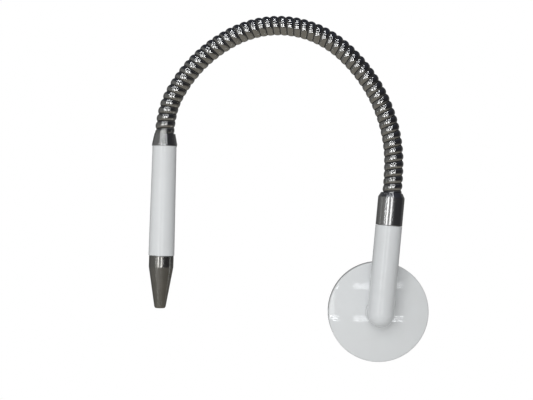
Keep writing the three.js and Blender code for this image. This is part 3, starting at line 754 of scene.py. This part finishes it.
# ---------------------------------------------------------------- the wall base
@dataclass
class WallBase:
    """The domed cover on the wall and its two side screws. Sizes are in millimetres."""

    dome_rise: float = 6.4
    edge: float = 1.7
    wall: float = 2.0
    eye: float = 7.0
    screw_height: float = 5.0
    screw_hole: float = 3.0
    screw_head: float = 1.9
    slot_width: float = 0.9
    dome_steps: int = 9

    def __post_init__(self) -> None:
        """Takes the cover's radius and height from the frame."""
        low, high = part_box("base_cover")
        self.radius = (high.x - low.x) / 2 / MM
        self.height = -low.y / MM
        self.dome_radius = (self.radius**2 + self.dome_rise**2) / (2 * self.dome_rise)

    def dome(self, radius: float, depth: float = 0.0) -> float:
        """Returns the height of the dome at a radius, depth under its skin."""
        crown = self.dome_radius - depth
        return self.height + 0.1 - self.dome_radius + math.sqrt(crown**2 - radius**2)

    def cover(self) -> Piece:
        """Builds the cover: a domed dish with a rounded edge, open to the wall."""
        outer, inner = self.radius, self.radius - self.wall
        radii = [outer - (outer - self.eye) * k / self.dome_steps for k in range(1, self.dome_steps)]
        inside = [inner - (inner - self.eye) * k / self.dome_steps for k in range(1, self.dome_steps)]
        corners = [
            Corner(outer, 0.0, 0.25),
            Corner(outer, self.dome(outer), self.edge),
            *(Corner(r, self.dome(r)) for r in radii),
            Corner(self.eye, self.dome(self.eye), 0.3),
            Corner(self.eye, self.dome(self.eye, self.wall)),
            *(Corner(r, self.dome(r, self.wall)) for r in reversed(inside)),
            Corner(inner, self.dome(inner, self.wall), 0.8),
            Corner(inner, 0.0, 0.25),
        ]
        holes = [rod(self._screw_axis(side), self.screw_hole, 40.0, 60.0) for side in (-1, 1)]
        shape = turned(Outline(*corners), WALL_AXIS, 144)
        return Piece("base_cover_shell", shape, "white_gloss", "base_cover").carve(*holes)

    def _screw_axis(self, side: int) -> Axis:
        """Returns the line of a side screw, outwards from the base's middle."""
        return Axis(Vector((0, -self.screw_height * MM, 0)), RIGHT * side, UP)

    def screw(self, side: int) -> Piece:
        """Builds a side screw with a crossed slot."""
        name = "cover_screw_right" if side > 0 else "cover_screw_left"
        low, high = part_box(name)
        radius, axis = (high.z - low.z) / 2 / MM, self._screw_axis(side)
        tip, top = (low.x / MM, high.x / MM) if side > 0 else (-high.x / MM, -low.x / MM)
        corners = (
            Corner(0, tip),
            Corner(1.1, tip, 0.2),
            Corner(1.4, tip + 0.8),
            Corner(1.4, top - self.screw_head),
            Corner(radius, top - self.screw_head, 0.15),
            Corner(radius, top - 0.4, 0.6),
            Corner(0, top),
        )
        shape = turned(Outline(*corners, closed=False), axis, 40)
        slots = [
            bar(axis, width, depth, top - 1.1, top + 1)
            for width, depth in ((self.slot_width, 3.2), (3.2, self.slot_width))
        ]
        return Piece(f"{name}_turned", shape, "zinc_screw", name).carve(*slots)

    def build(self) -> None:
        """Builds and dresses the base."""
        self.cover().dress().ride("base")
        for side in (-1, 1):
            self.screw(side).dress().ride("base")


# ---------------------------------------------------------------- the arm
@dataclass
class SwivelArm:
    """The white tube that swivels on the base, its saddle and its chrome collar. Sizes are in millimetres."""

    radius: float = 13.0
    wall: float = 2.5
    length: float = 86.8
    gap: float = 0.3
    saddle_radius: float = 13.7
    saddle_from: float = 19.8
    saddle_to: float = 23.2
    stem_hole: float = 5.2
    collar_height: float = 26.8
    shoulder: float = 5.2
    collar_mouth: float = 10.2
    neck_hole: float = 9.7
    grub_at: float = 81.3
    grub_hole: float = 1.55
    end_steps: int = 12

    def _end(self, radius: float) -> list[Corner]:
        """Returns the arc of the arm's round end, from its tip to the tube."""
        angles = [math.pi / 2 * k / self.end_steps for k in range(self.end_steps + 1)]
        return [Corner(radius * math.sin(a), -radius * math.cos(a)) for a in angles]

    def tube(self) -> Piece:
        """Builds the tube with its round end and the hole for the collar's screw."""
        bore = self.radius - self.wall
        corners = [
            *self._end(self.radius),
            Corner(self.radius, self.length, 0.35),
            Corner(bore, self.length, 0.2),
            *reversed(self._end(bore)),
        ]
        shape = turned(Outline(*corners, closed=False), ARM_AXIS, 112)
        return Piece("lamp_arm_tube", shape, "white_enamel", "lamp_arm").carve(self._grub(self.grub_hole))

    def _grub(self, radius: float) -> bmesh.types.BMesh:
        """Returns a bar through the wall side of the tube at the collar's screw."""
        axis = Axis(ARM_AXIS.at(self.grub_at * MM), -FORWARD, ARM_AXIS.along)
        return rod(axis, radius, 4.0, 20.0, 24)

    def saddle(self) -> Piece:
        """Builds the spacer, hollowed to take the round of the arm."""
        corners = (
            Corner(self.stem_hole, self.saddle_from),
            Corner(self.saddle_radius, self.saddle_from, 0.4),
            Corner(self.saddle_radius, self.saddle_to, 0.4),
            Corner(self.stem_hole, self.saddle_to),
        )
        skin = [*self._end(self.radius + 0.1), Corner(self.radius + 0.1, 60.0), Corner(0.0, 60.0)]
        hollow = turned(Outline(*skin, closed=False), ARM_AXIS, 96)
        shape = turned(Outline(*corners), WALL_AXIS, 96)
        return Piece("saddle_spacer", shape, "white_gloss", "swivel_saddle").carve(hollow)

    def collar(self) -> Piece:
        """Builds the collar: a plain band under a rounded shoulder."""
        base = self.length + self.gap
        turn = base + self.collar_height
        top = turn + self.shoulder
        spigot = self.radius - self.wall - 0.1
        corners = (
            Corner(spigot, self.length - 12.0, 0.4),
            Corner(spigot, base, 0.1),
            Corner(self.radius, base, 0.45),
            Corner(self.radius, turn + 0.6, 2.4),
            Corner(self.collar_mouth + 0.5, top - 0.4, 0.9),
            Corner(self.collar_mouth, top, 0.3),
            Corner(self.neck_hole, top, 0.2),
            Corner(self.neck_hole, base - 6.0),
            Corner(8.6, base - 6.0),
            Corner(8.6, self.length - 12.0, 0.3),
        )
        return Piece("neck_collar_band", turned(Outline(*corners), ARM_AXIS, 112), "chrome", "neck_collar")

    def build(self) -> None:
        """Builds and dresses the arm."""
        for piece in (self.tube(), self.saddle(), self.collar()):
            piece.dress().ride("arm")


# ---------------------------------------------------------------- the gooseneck
@dataclass
class Gooseneck:
    """The wound chrome neck, in one piece for each of its joints. Sizes are in millimetres."""

    GROOVE = "groove"  # the mesh attribute that is 1 at the bottom of a groove, which the neck's material darkens as painted shade

    radius: float = 9.5
    depth: float = 1.25
    fullness: float = 2.3  # how flat a turn's crown is
    opening: float = 3.0  # how much deeper the grooves are outside a bend
    turns: float = 55.0
    facets: int = 44
    bend_reach: float = 9.0
    into_collar: float = 8.0
    into_ferrule: float = 7.0
    lead_radius: float = 1.2
    shares: tuple[float, ...] = (0.0, 0.045, 0.12, 0.25, 0.4, 0.6, 0.75, 0.88, 0.955)

    def __post_init__(self) -> None:
        """Lays the middle line from the arm through the joints into the head."""
        spacing = (JOINT_POINTS[1] - JOINT_POINTS[0]).length
        arm_way = ARM_AXIS.along.normalized()
        before = [JOINT_POINTS[0] - arm_way * spacing * k for k in (3, 2, 1)]
        after = [JOINT_POINTS[-1] + HEAD_WAY * spacing * k for k in (1, 2, 3)]
        self.route = Route([*before, *JOINT_POINTS, *after], FORWARD)
        self.joint_at = [self.route.knot_length(len(before) + i) for i in range(len(JOINT_POINTS))]
        arm = SwivelArm()
        collar_top = (arm.length + arm.gap + arm.collar_height + arm.shoulder) * MM
        self.start = self.joint_at[0] - ((JOINT_POINTS[0] - ARM_AXIS.origin).length - collar_top)
        self.end = self.joint_at[-1] + (HEAD_AXIS.origin - JOINT_POINTS[-1]).length
        self.pitch = (self.end - self.start) / self.turns
        self.bodies = [NECK_JOINTS[0]["parent"], *(j["child"] for j in NECK_JOINTS)]

    def _share(self, turn: float, distance: float) -> float:
        """Returns how far across its turn of the winding a point is, 0 and 1 being in the groove."""
        return ((distance - self.start) / self.pitch - turn / (2 * math.pi)) % 1.0

    def skin(self, turn: float, distance: float) -> Vector:
        """Returns the point of the winding's surface at an angle round it and a distance along it."""
        way = Vector((math.cos(turn), math.sin(turn), 0.0))
        across = self.route.place(way + UP * distance) - self.route.at(distance)[0]
        spread = 1.0 + self.opening * self.route.outward(distance).dot(across) * self.radius * MM
        hollow = self.depth * spread * abs(2 * self._share(turn, distance) - 1) ** self.fullness
        return self.route.place(way * (self.radius - hollow) * MM + UP * distance)

    def _normal(self, turn: float, distance: float, step: float = 0.12 * MM) -> Vector:
        """Returns the surface's outward direction."""
        swing = step / (self.radius * MM)
        around = self.skin(turn + swing, distance) - self.skin(turn - swing, distance)
        along = self.skin(turn, distance + step) - self.skin(turn, distance - step)
        return around.cross(along).normalized()

    def _span(self, joint: int) -> tuple[float, float]:
        """Returns where the piece at a joint begins and ends along the middle line."""
        at = self.joint_at
        begin = (at[joint - 1] + at[joint]) / 2 if joint else self.start - self.into_collar * MM
        stop = (at[joint] + at[joint + 1]) / 2 if joint + 1 < len(at) else self.end + self.into_ferrule * MM
        return begin, stop

    def winding(self, joint: int) -> Piece:
        """Builds the piece of the winding at a joint: a row of turns spun with a rise of one pitch."""
        begin, stop = self._span(joint)
        first = math.floor((begin - self.start) / self.pitch) - 2
        last = math.ceil((stop - self.start) / self.pitch) + 1
        heights = [self.start + (n + s) * self.pitch for n in range(first, last) for s in self.shares]
        bm = bmesh.new()
        verts = [bm.verts.new((self.radius * MM, 0.0, z)) for z in heights]
        edges = [bm.edges.new(pair) for pair in zip(verts, verts[1:])]
        bmesh.ops.spin(
            bm,
            geom=verts + edges,
            cent=(0, 0, 0),
            axis=(0, 0, 1),
            dvec=(0, 0, self.pitch / self.facets),
            angle=2 * math.pi,
            steps=self.facets,
        )
        bmesh.ops.remove_doubles(bm, verts=bm.verts, dist=0.01 * MM)
        for at, way in ((begin, -1), (stop, 1)):
            geom = [*bm.verts, *bm.edges, *bm.faces]
            bmesh.ops.bisect_plane(bm, geom=geom, plane_co=(0, 0, at), plane_no=(0, 0, way), clear_outer=True)
        bmesh.ops.holes_fill(bm, edges=[e for e in bm.edges if e.is_boundary], sides=0)
        layer = bm.verts.layers.float.new(self.GROOVE)
        normals = []
        bm.verts.index_update()
        for v in bm.verts:
            turn, distance = math.atan2(v.co.y, v.co.x), v.co.z
            # mask of the groove bottoms, which the neck's material paints with shade
            v[layer] = abs(2 * self._share(turn, distance) - 1) ** 5
            normals.append(self._normal(turn, distance))
            v.co = self.skin(turn, distance)
        bmesh.ops.recalc_face_normals(bm, faces=bm.faces)
        bm.verts.ensure_lookup_table()
        skin_face = next(f for f in bm.faces if len(f.verts) == 4)
        if skin_face.normal.dot(normals[skin_face.verts[0].index]) < 0.0:
            bmesh.ops.reverse_faces(bm, faces=bm.faces)
        nodes = ["neck_root", *(n for n in frame["nodes"] if n.startswith("neck_turns_")), "neck_end"]
        stands_for = {nodes[joint], nodes[joint + 1]}
        piece = Piece(f"neck_winding_{joint + 1:02d}", bm, "chrome_neck", *sorted(stands_for))
        mesh = piece.obj.data
        mesh.polygons.foreach_set("use_smooth", [True] * len(mesh.polygons))
        mesh.normals_split_custom_set_from_vertices([tuple(n) for n in normals])
        return piece

    def lead(self, joint: int) -> Piece:
        """Builds the length of supply lead inside the piece of neck at a joint."""
        begin, stop = (v / MM for v in self._span(joint))
        return lead_along(self.route, f"supply_lead_neck_{joint + 1:02d}", self.lead_radius, begin, stop)

    def build(self) -> None:
        """Builds and dresses the pieces at each joint, and bakes their placement."""
        for joint, at in enumerate(self.joint_at):
            start = self.route.at(at - self.bend_reach * MM)[0]
            end = self.route.at(at + self.bend_reach * MM)[0]
            pair = self.bodies[joint], self.bodies[joint + 1]
            self.winding(joint).dress(even=False).blend(*pair, start, end)
            self.lead(joint).dress().blend(*pair, start, end)


def lead_along(route: Route, name: str, radius: float, begin: float, stop: float, step: float = 1.5) -> Piece:
    """Builds a length of supply lead.

    Args:
        route: The line that it follows.
        name: The piece's name.
        radius: Its radius in millimetres.
        begin: Where it begins along the line, in millimetres.
        stop: Where it ends.
        step: About how far apart its rings are.

    Returns:
        The piece, not yet dressed.
    """
    rings = max(2, math.ceil((stop - begin) / step))
    heights = [begin + (stop - begin) * k / rings for k in range(rings + 1)]
    corners = [Corner(0, begin), *(Corner(radius, h) for h in heights), Corner(0, stop)]
    level = Axis(Vector((0, 0, 0)), UP, RIGHT)
    bm = turned(Outline(*corners, closed=False), level, 20)
    for v in bm.verts:
        v.co = route.place(v.co)
    return Piece(name, bm, "lead_sheath", "supply_lead")


@dataclass
class SupplyLead:
    """The supply lead's ends: from the driver through the stem, up the arm, and down the head. In millimetres."""

    radius: float = 1.2
    level: float = 5.0  # out from the wall, behind the swivel nut
    turn: float = 4.0
    stem_front: float = 32.8

    def build(self) -> None:
        """Builds and dresses the three ends."""
        neck = Gooseneck()
        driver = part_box("led_driver")[0].z / MM - 0.3
        out = self.level + self.turn
        down = [(driver, self.level), (self.turn + 4, self.level), (self.turn, self.level)]
        turn = [
            (self.turn * (1 - math.sin(a)), self.level + self.turn * (1 - math.cos(a)))
            for a in (math.pi / 6, math.pi / 3, math.pi / 2)
        ]
        through = [(0.0, out + (self.stem_front - out) * share) for share in (0.3, 0.6, 0.9)]
        knots = [Vector((0, -y * MM, z * MM)) for z, y in (*down, *turn, *through)]
        route = Route(knots, RIGHT)
        self._run(route, "supply_lead_base", "base", 0.0, route.length / MM)

        rise = ARM_AXIS.along.normalized()
        heights = [(0.0, 3.9), (0.0, 2.6), (1.2, 1.2), (4.0, 0.2), (12.0, 0.0), (40.0, 0.0)]
        knots = [ARM_AXIS.origin + rise * up * MM - FORWARD * back * MM for up, back in heights]
        collar_foot = ARM_AXIS.at((ARM_AXIS.along.length / MM - 20.5) * MM)
        route = Route([*knots, collar_foot], FORWARD.cross(rise))
        self._run(route, "supply_lead_arm", "arm", 0.0, route.length / MM)

        board = (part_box("led_board")[1] - HEAD_AXIS.origin).dot(HEAD_WAY) / MM
        finish = neck.end / MM + neck.into_ferrule
        self._run(neck.route, "supply_lead_head", "head", finish, neck.end / MM + board - 1.5)

    def _run(self, route: Route, name: str, body: str, begin: float, stop: float) -> None:
        """Builds and dresses one end."""
        lead_along(route, name, self.radius, begin, stop).dress().ride(body)


# ---------------------------------------------------------------- the head
@dataclass
class LampHead:
    """The ferrule, grip, steel nose, optics and switch. Heights run from the ferrule's mouth, in millimetres."""

    mouth: float = 10.25
    ferrule: float = 12.25
    ferrule_end: float = 11.8
    core: float = 10.9
    bore: float = 8.6
    neck_hole: float = 9.7
    grip_top: float = 13.1
    grip_foot: float = 12.6
    grip_from: float = 12.1
    grip_to: float = 119.1
    grip_bore: float = 11.0
    nose: float = 12.0
    nose_from: float = 119.4
    band_to: float = 130.2
    tip: float = 5.6
    tip_from: float = 168.8
    nose_to: float = 170.4
    opening: float = 4.0
    window: float = 4.7
    window_from: float = 164.3
    window_to: float = 166.3
    lens: float = 9.8
    lens_from: float = 133.9
    lens_to: float = 136.9
    lens_rise: float = 3.4
    switch_at: float = 43.0
    switch: float = 4.7
    switch_front: float = 13.8
    button: float = 3.1
    button_front: float = 15.2

    def turned_piece(self, name: str, slot: str, node: str, corners: Sequence[Corner], closed: bool = True) -> Piece:
        """Returns a piece turned about the head's axis."""
        return Piece(name, turned(Outline(*corners, closed=closed), HEAD_AXIS, 112), slot, node)

    def ferrule_ring(self) -> Piece:
        """Builds the tapered ferrule between neck and grip."""
        foot = self.ferrule_end + 9.2
        corners = (
            Corner(self.neck_hole, 0.0, 0.2),
            Corner(self.mouth, 0.0, 0.5),
            Corner(self.ferrule, self.ferrule_end - 1.6, 3.0),
            Corner(self.ferrule, self.ferrule_end, 0.3),
            Corner(self.core, self.ferrule_end, 0.1),
            Corner(self.core, foot, 0.4),
            Corner(self.bore, foot, 0.3),
            Corner(self.bore, 8.5),
            Corner(self.neck_hole, 8.5),
        )
        return self.turned_piece("head_ferrule_turned", "chrome", "head_ferrule", corners)

    def grip(self) -> Piece:
        """Builds the white grip with the hole for the switch."""
        corners = (
            Corner(self.grip_bore, self.grip_from, 0.2),
            Corner(self.grip_top, self.grip_from, 0.7),
            Corner(self.grip_foot, self.grip_to, 0.6),
            Corner(self.grip_bore, self.grip_to, 0.2),
        )
        hole = rod(self._press_axis(), self.switch + 0.1, 5.0, 20.0)
        return self.turned_piece("grip_shell", "white_gloss", "grip_sleeve", corners).carve(hole)

    def _press_axis(self) -> Axis:
        """Returns the line of the switch, out of the grip towards the wall."""
        return Axis(HEAD_AXIS.at(self.switch_at * MM), -FORWARD, HEAD_WAY)

    def nose_piece(self) -> Piece:
        """Builds the steel nose: a band, a straight cone and a small flat tip."""
        seat = self.window_from - 2.5
        corners = (
            Corner(self.grip_bore, self.nose_from, 0.2),
            Corner(self.nose, self.nose_from, 0.35),
            Corner(self.nose, self.band_to, 0.5),
            Corner(self.tip, self.tip_from, 0.9),
            Corner(self.tip - 0.9, self.nose_to, 0.4),
            Corner(self.opening, self.nose_to, 0.3),
            Corner(self.opening, self.window_to + 0.1),
            Corner(self.window + 0.1, self.window_to + 0.1),
            Corner(self.window + 0.1, seat),
            Corner(self.lens - 0.8, self.lens_to),
            Corner(self.lens + 0.1, self.lens_to),
            Corner(self.lens + 0.1, 131.0),
            Corner(self.grip_bore, 129.6),
        )
        return self.turned_piece("nose_cone_turned", "brushed_steel", "nose_cone", corners)

    def optics(self) -> list[Piece]:
        """Builds the front window and the condenser lens."""
        pane = (
            Corner(0, self.window_from),
            Corner(self.window, self.window_from, 0.15),
            Corner(self.window, self.window_to, 0.3),
            Corner(0, self.window_to),
        )
        edge = self.lens - 0.9
        crown = [(math.cos(a), math.sin(a)) for a in (math.pi / 2 * k / 10 for k in range(11))]
        bull = [
            Corner(0, self.lens_from),
            Corner(self.lens, self.lens_from, 0.2),
            Corner(self.lens, self.lens_to, 0.2),
            *(Corner(edge * across, self.lens_to + self.lens_rise * up) for across, up in crown),
        ]
        return [
            self.turned_piece("front_window_pane", "clear_optic", "front_window", pane, closed=False),
            self.turned_piece("condenser_bull", "clear_optic", "condenser_lens", bull, closed=False),
        ]

    def switch_surround(self) -> Piece:
        """Builds the switch's cup, which stands just proud of the grip."""
        low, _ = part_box("switch_body")
        back = (low.y - HEAD_AXIS.at(self.switch_at * MM).y) / MM
        corners = (
            Corner(0, back),
            Corner(self.switch, back, 0.3),
            Corner(self.switch, self.switch_front, 0.45),
            Corner(self.button + 0.2, self.switch_front, 0.35),
            Corner(self.button + 0.2, back + 1.5),
            Corner(0, back + 1.5),
        )
        shape = turned(Outline(*corners, closed=False), self._press_axis(), 64)
        return Piece("switch_cup", shape, "black_plastic", "switch_body")

    def press_button(self) -> Piece:
        """Builds the button, with a shallow dish for a fingertip."""
        low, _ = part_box("switch_button")
        back = (low.y - HEAD_AXIS.at(self.switch_at * MM).y) / MM
        front = self.button_front
        corners = (
            Corner(0, back),
            Corner(self.button, back, 0.2),
            Corner(self.button, front, 0.55),
            Corner(self.button * 0.72, front, 0.8),
            Corner(self.button * 0.35, front - 0.3, 2.0),
            Corner(0, front - 0.35),
        )
        shape = turned(Outline(*corners, closed=False), self._press_axis(), 56)
        return Piece("press_button_cap", shape, "grey_rubber", "switch_button")

    def build(self) -> None:
        """Builds and dresses the head."""
        for piece in (self.ferrule_ring(), self.grip(), self.nose_piece(), *self.optics(), self.switch_surround()):
            piece.dress().ride("head")
        self.press_button().dress().ride("button")


def dress_frame() -> None:
    """Gives every CAD node that is still shown the finish of its slot."""
    for name, node in frame["nodes"].items():
        slot = node.material_slots[0].material.name
        node.material_slots[0].material = FINISHES[slot].material()
        if not node.hide_render:
            log.info("%s: CAD node, %s", name, slot)


# ---------------------------------------------------------------- the studio
@dataclass(frozen=True)
class Panel:
    """An area lamp that faces the object. Angles are in degrees, sizes in metres, the power in watts."""

    name: str
    azimuth: float
    elevation: float
    width: float
    height: float
    power: float
    distance: float = 2.2
    in_reflections: bool = True

    def build(self, target: Vector) -> None:
        """Hangs the lamp round a target."""
        a, e = math.radians(self.azimuth), math.radians(self.elevation)
        way = Vector((math.sin(a) * math.cos(e), -math.cos(a) * math.cos(e), math.sin(e)))
        data = bpy.data.lights.new(self.name, "AREA")
        data.shape, data.size, data.size_y, data.energy = "RECTANGLE", self.width, self.height, self.power
        lamp = bpy.data.objects.new(self.name, data)
        lamp.location = target + way * self.distance
        lamp.rotation_euler = way.to_track_quat("Z", "Y").to_euler()
        lamp.visible_camera = False
        lamp.visible_glossy = self.in_reflections
        bpy.context.scene.collection.objects.link(lamp)


@dataclass(frozen=True)
class TubeCeiling:
    """Rows of three-tube fittings behind the camera, seen in reflections only. Angles in degrees, sizes in metres."""

    columns: tuple[float, ...] = (-44.0, -24.0, -4.0, 18.0)
    rows: tuple[float, ...] = (-12.0, 9.0, 29.0, 50.0, 71.0)
    distance: float = 2.5
    length: float = 0.44
    width: float = 0.02
    spacing: float = 0.061
    radiance: float = 12.0
    glow: Colour = (0.95, 0.97, 1.0)

    def build(self, target: Vector) -> None:
        """Hangs the fittings round a target, each facing it."""
        bm = bmesh.new()
        for azimuth in self.columns:
            for elevation in self.rows:
                self._fitting(bm, target, math.radians(azimuth), math.radians(elevation))
        ceiling = stand_in(bm, "tube_ceiling")
        material = bpy.data.materials.new("tube_light")
        material.use_nodes = True
        net = Net(material.node_tree)
        light = net.node("ShaderNodeEmission", {}, {"Color": self.glow, "Strength": self.radiance})
        net.node("ShaderNodeOutputMaterial", {}, {"Surface": light})
        ceiling.data.materials.append(material)
        only_in_reflections(ceiling)

    def _fitting(self, bm: bmesh.types.BMesh, target: Vector, azimuth: float, elevation: float) -> None:
        """Adds one fitting's three tubes."""
        way = Vector(
            (math.sin(azimuth) * math.cos(elevation), -math.cos(azimuth) * math.cos(elevation), math.sin(elevation))
        )
        facing = Matrix.Translation(target + way * self.distance) @ way.to_track_quat("Z", "Y").to_matrix().to_4x4()
        for tube in (-1, 0, 1):
            shape = Matrix.Translation((0, tube * self.spacing, 0)) @ Matrix.Diagonal((self.length, self.width, 1, 1))
            bmesh.ops.create_grid(bm, x_segments=1, y_segments=1, size=0.5, matrix=facing @ shape)


def only_in_reflections(obj: bpy.types.Object) -> None:
    """Hides a stage object from everything but glossy rays."""
    for ray in ("camera", "diffuse", "transmission", "shadow", "volume_scatter"):
        setattr(obj, f"visible_{ray}", False)


@dataclass
class Studio:
    """The floor, the lamps, the dark surround that metal reflects, the white world and the camera."""

    target: Vector = field(default_factory=lambda: (CAD_BOX[0] + CAD_BOX[1]) / 2)
    floor_drop: float = 0.3
    floor_radius: float = 1.1
    surround_radius: float = 4.0
    daylight: float = 0.34
    camera_x: float = -0.1116
    camera_z: float = 0.1115
    camera_away: float = 1.1736
    lens: float = 81.05

    def build(self) -> None:
        """Builds the studio."""
        self._floor()
        self._surround()
        self._world()
        self._lamps()
        self._camera()

    def _floor(self) -> None:
        """Lays a pale round floor well under the lamp."""
        bm = bmesh.new()
        bmesh.ops.create_circle(bm, cap_ends=True, segments=96, radius=self.floor_radius)
        at = Vector((self.target.x, self.target.y, CAD_BOX[0].z - self.floor_drop))
        bmesh.ops.translate(bm, vec=at, verts=bm.verts)
        floor = stand_in(bm, "floor")
        material = bpy.data.materials.new("pale_floor")
        material.use_nodes = True
        net = Net(material.node_tree)
        cloud = net.noise(6.0, 3.0)
        net.surface({"Base Color": net.mix(cloud, (0.86, 0.86, 0.85), (0.82, 0.82, 0.81)), "Roughness": 0.8})
        floor.data.materials.append(material)
        floor.visible_glossy = False

    def _surround(self) -> None:
        """Stands a dim round room about the lamp, which only reflections see."""
        bm = bmesh.new()
        bmesh.ops.create_uvsphere(bm, u_segments=48, v_segments=24, radius=self.surround_radius)
        room = stand_in(bm, "surround")
        material = bpy.data.materials.new("dim_room")
        material.use_nodes = True
        material.cycles.emission_sampling = "NONE"
        net = Net(material.node_tree)
        way = net.vector("NORMALIZE", net.coords())
        parts = {axis: net.node("ShaderNodeSeparateXYZ", {}, {0: way}, i) for i, axis in enumerate("xyz")}
        sides = net.mix(parts["x"].rise(-0.55, 0.3), (0.2, 0.2, 0.195), (0.03, 0.03, 0.034))
        behind = net.mix(parts["y"].rise(0.1, 0.7), sides, (0.12, 0.12, 0.12))
        low = net.mix((parts["z"] * -1.0).rise(0.05, 0.6), behind, (0.26, 0.245, 0.215))
        both = net.mix(parts["z"].rise(0.35, 0.8), low, (0.04, 0.043, 0.055))
        glow = net.node("ShaderNodeEmission", {}, {"Color": both, "Strength": 1.0})
        net.node("ShaderNodeOutputMaterial", {}, {"Surface": glow})
        room.data.materials.append(material)
        only_in_reflections(room)

    def _world(self) -> None:
        """Makes the world white to the camera, to glass and to metal, and daylight to the rest."""
        world = bpy.data.worlds.new("white_world")
        bpy.context.scene.world = world
        world.use_nodes = True
        net = Net(world.node_tree)
        seen = [net.node("ShaderNodeLightPath", output=f"Is {ray} Ray") for ray in ("Camera", "Glossy", "Transmission")]
        shown = seen[0] | seen[1] | seen[2]
        light = net.node("ShaderNodeBackground", {}, {"Color": (1, 1, 1), "Strength": shown.spread(self.daylight, 1.0)})
        net.node("ShaderNodeOutputWorld", {}, {"Surface": light})

    def _lamps(self) -> None:
        """Hangs a soft key lamp, three upright panels and the ceiling's tubes."""
        Panel("soft_key", -14.0, 14.0, 1.8, 1.8, 24.5, in_reflections=False).build(self.target)
        Panel("left_panel", -26.0, 0.0, 0.36, 0.9, 2.7).build(self.target)
        Panel("middle_panel", 4.5, 0.0, 0.34, 0.9, 2.5).build(self.target)
        Panel("side_strip", -46.0, 0.0, 0.12, 0.9, 0.45).build(self.target)
        TubeCeiling().build(self.target)

    def _camera(self) -> None:
        """Stands the camera level, square to the wall."""
        data = bpy.data.cameras.new("camera")
        data.sensor_width, data.lens = 36.0, self.lens
        camera = bpy.data.objects.new("camera", data)
        camera.location = (self.camera_x, ARM_DEPTH - self.camera_away, self.camera_z)
        camera.rotation_euler = (math.pi / 2, 0.0, 0.0)
        bpy.context.scene.collection.objects.link(camera)
        bpy.context.scene.camera = camera
        bpy.context.scene.view_settings.view_transform = "Standard"


def main() -> None:
    """Builds the studio and the lamp's parts in order."""
    logging.basicConfig(level=logging.INFO, format="%(name)s: %(message)s")
    Studio().build()
    for part in (WallBase(), SwivelArm(), Gooseneck(), SupplyLead(), LampHead()):
        log.info("building %s", type(part).__name__)
        part.build()
    dress_frame()


if __name__ == "__main__":
    main()
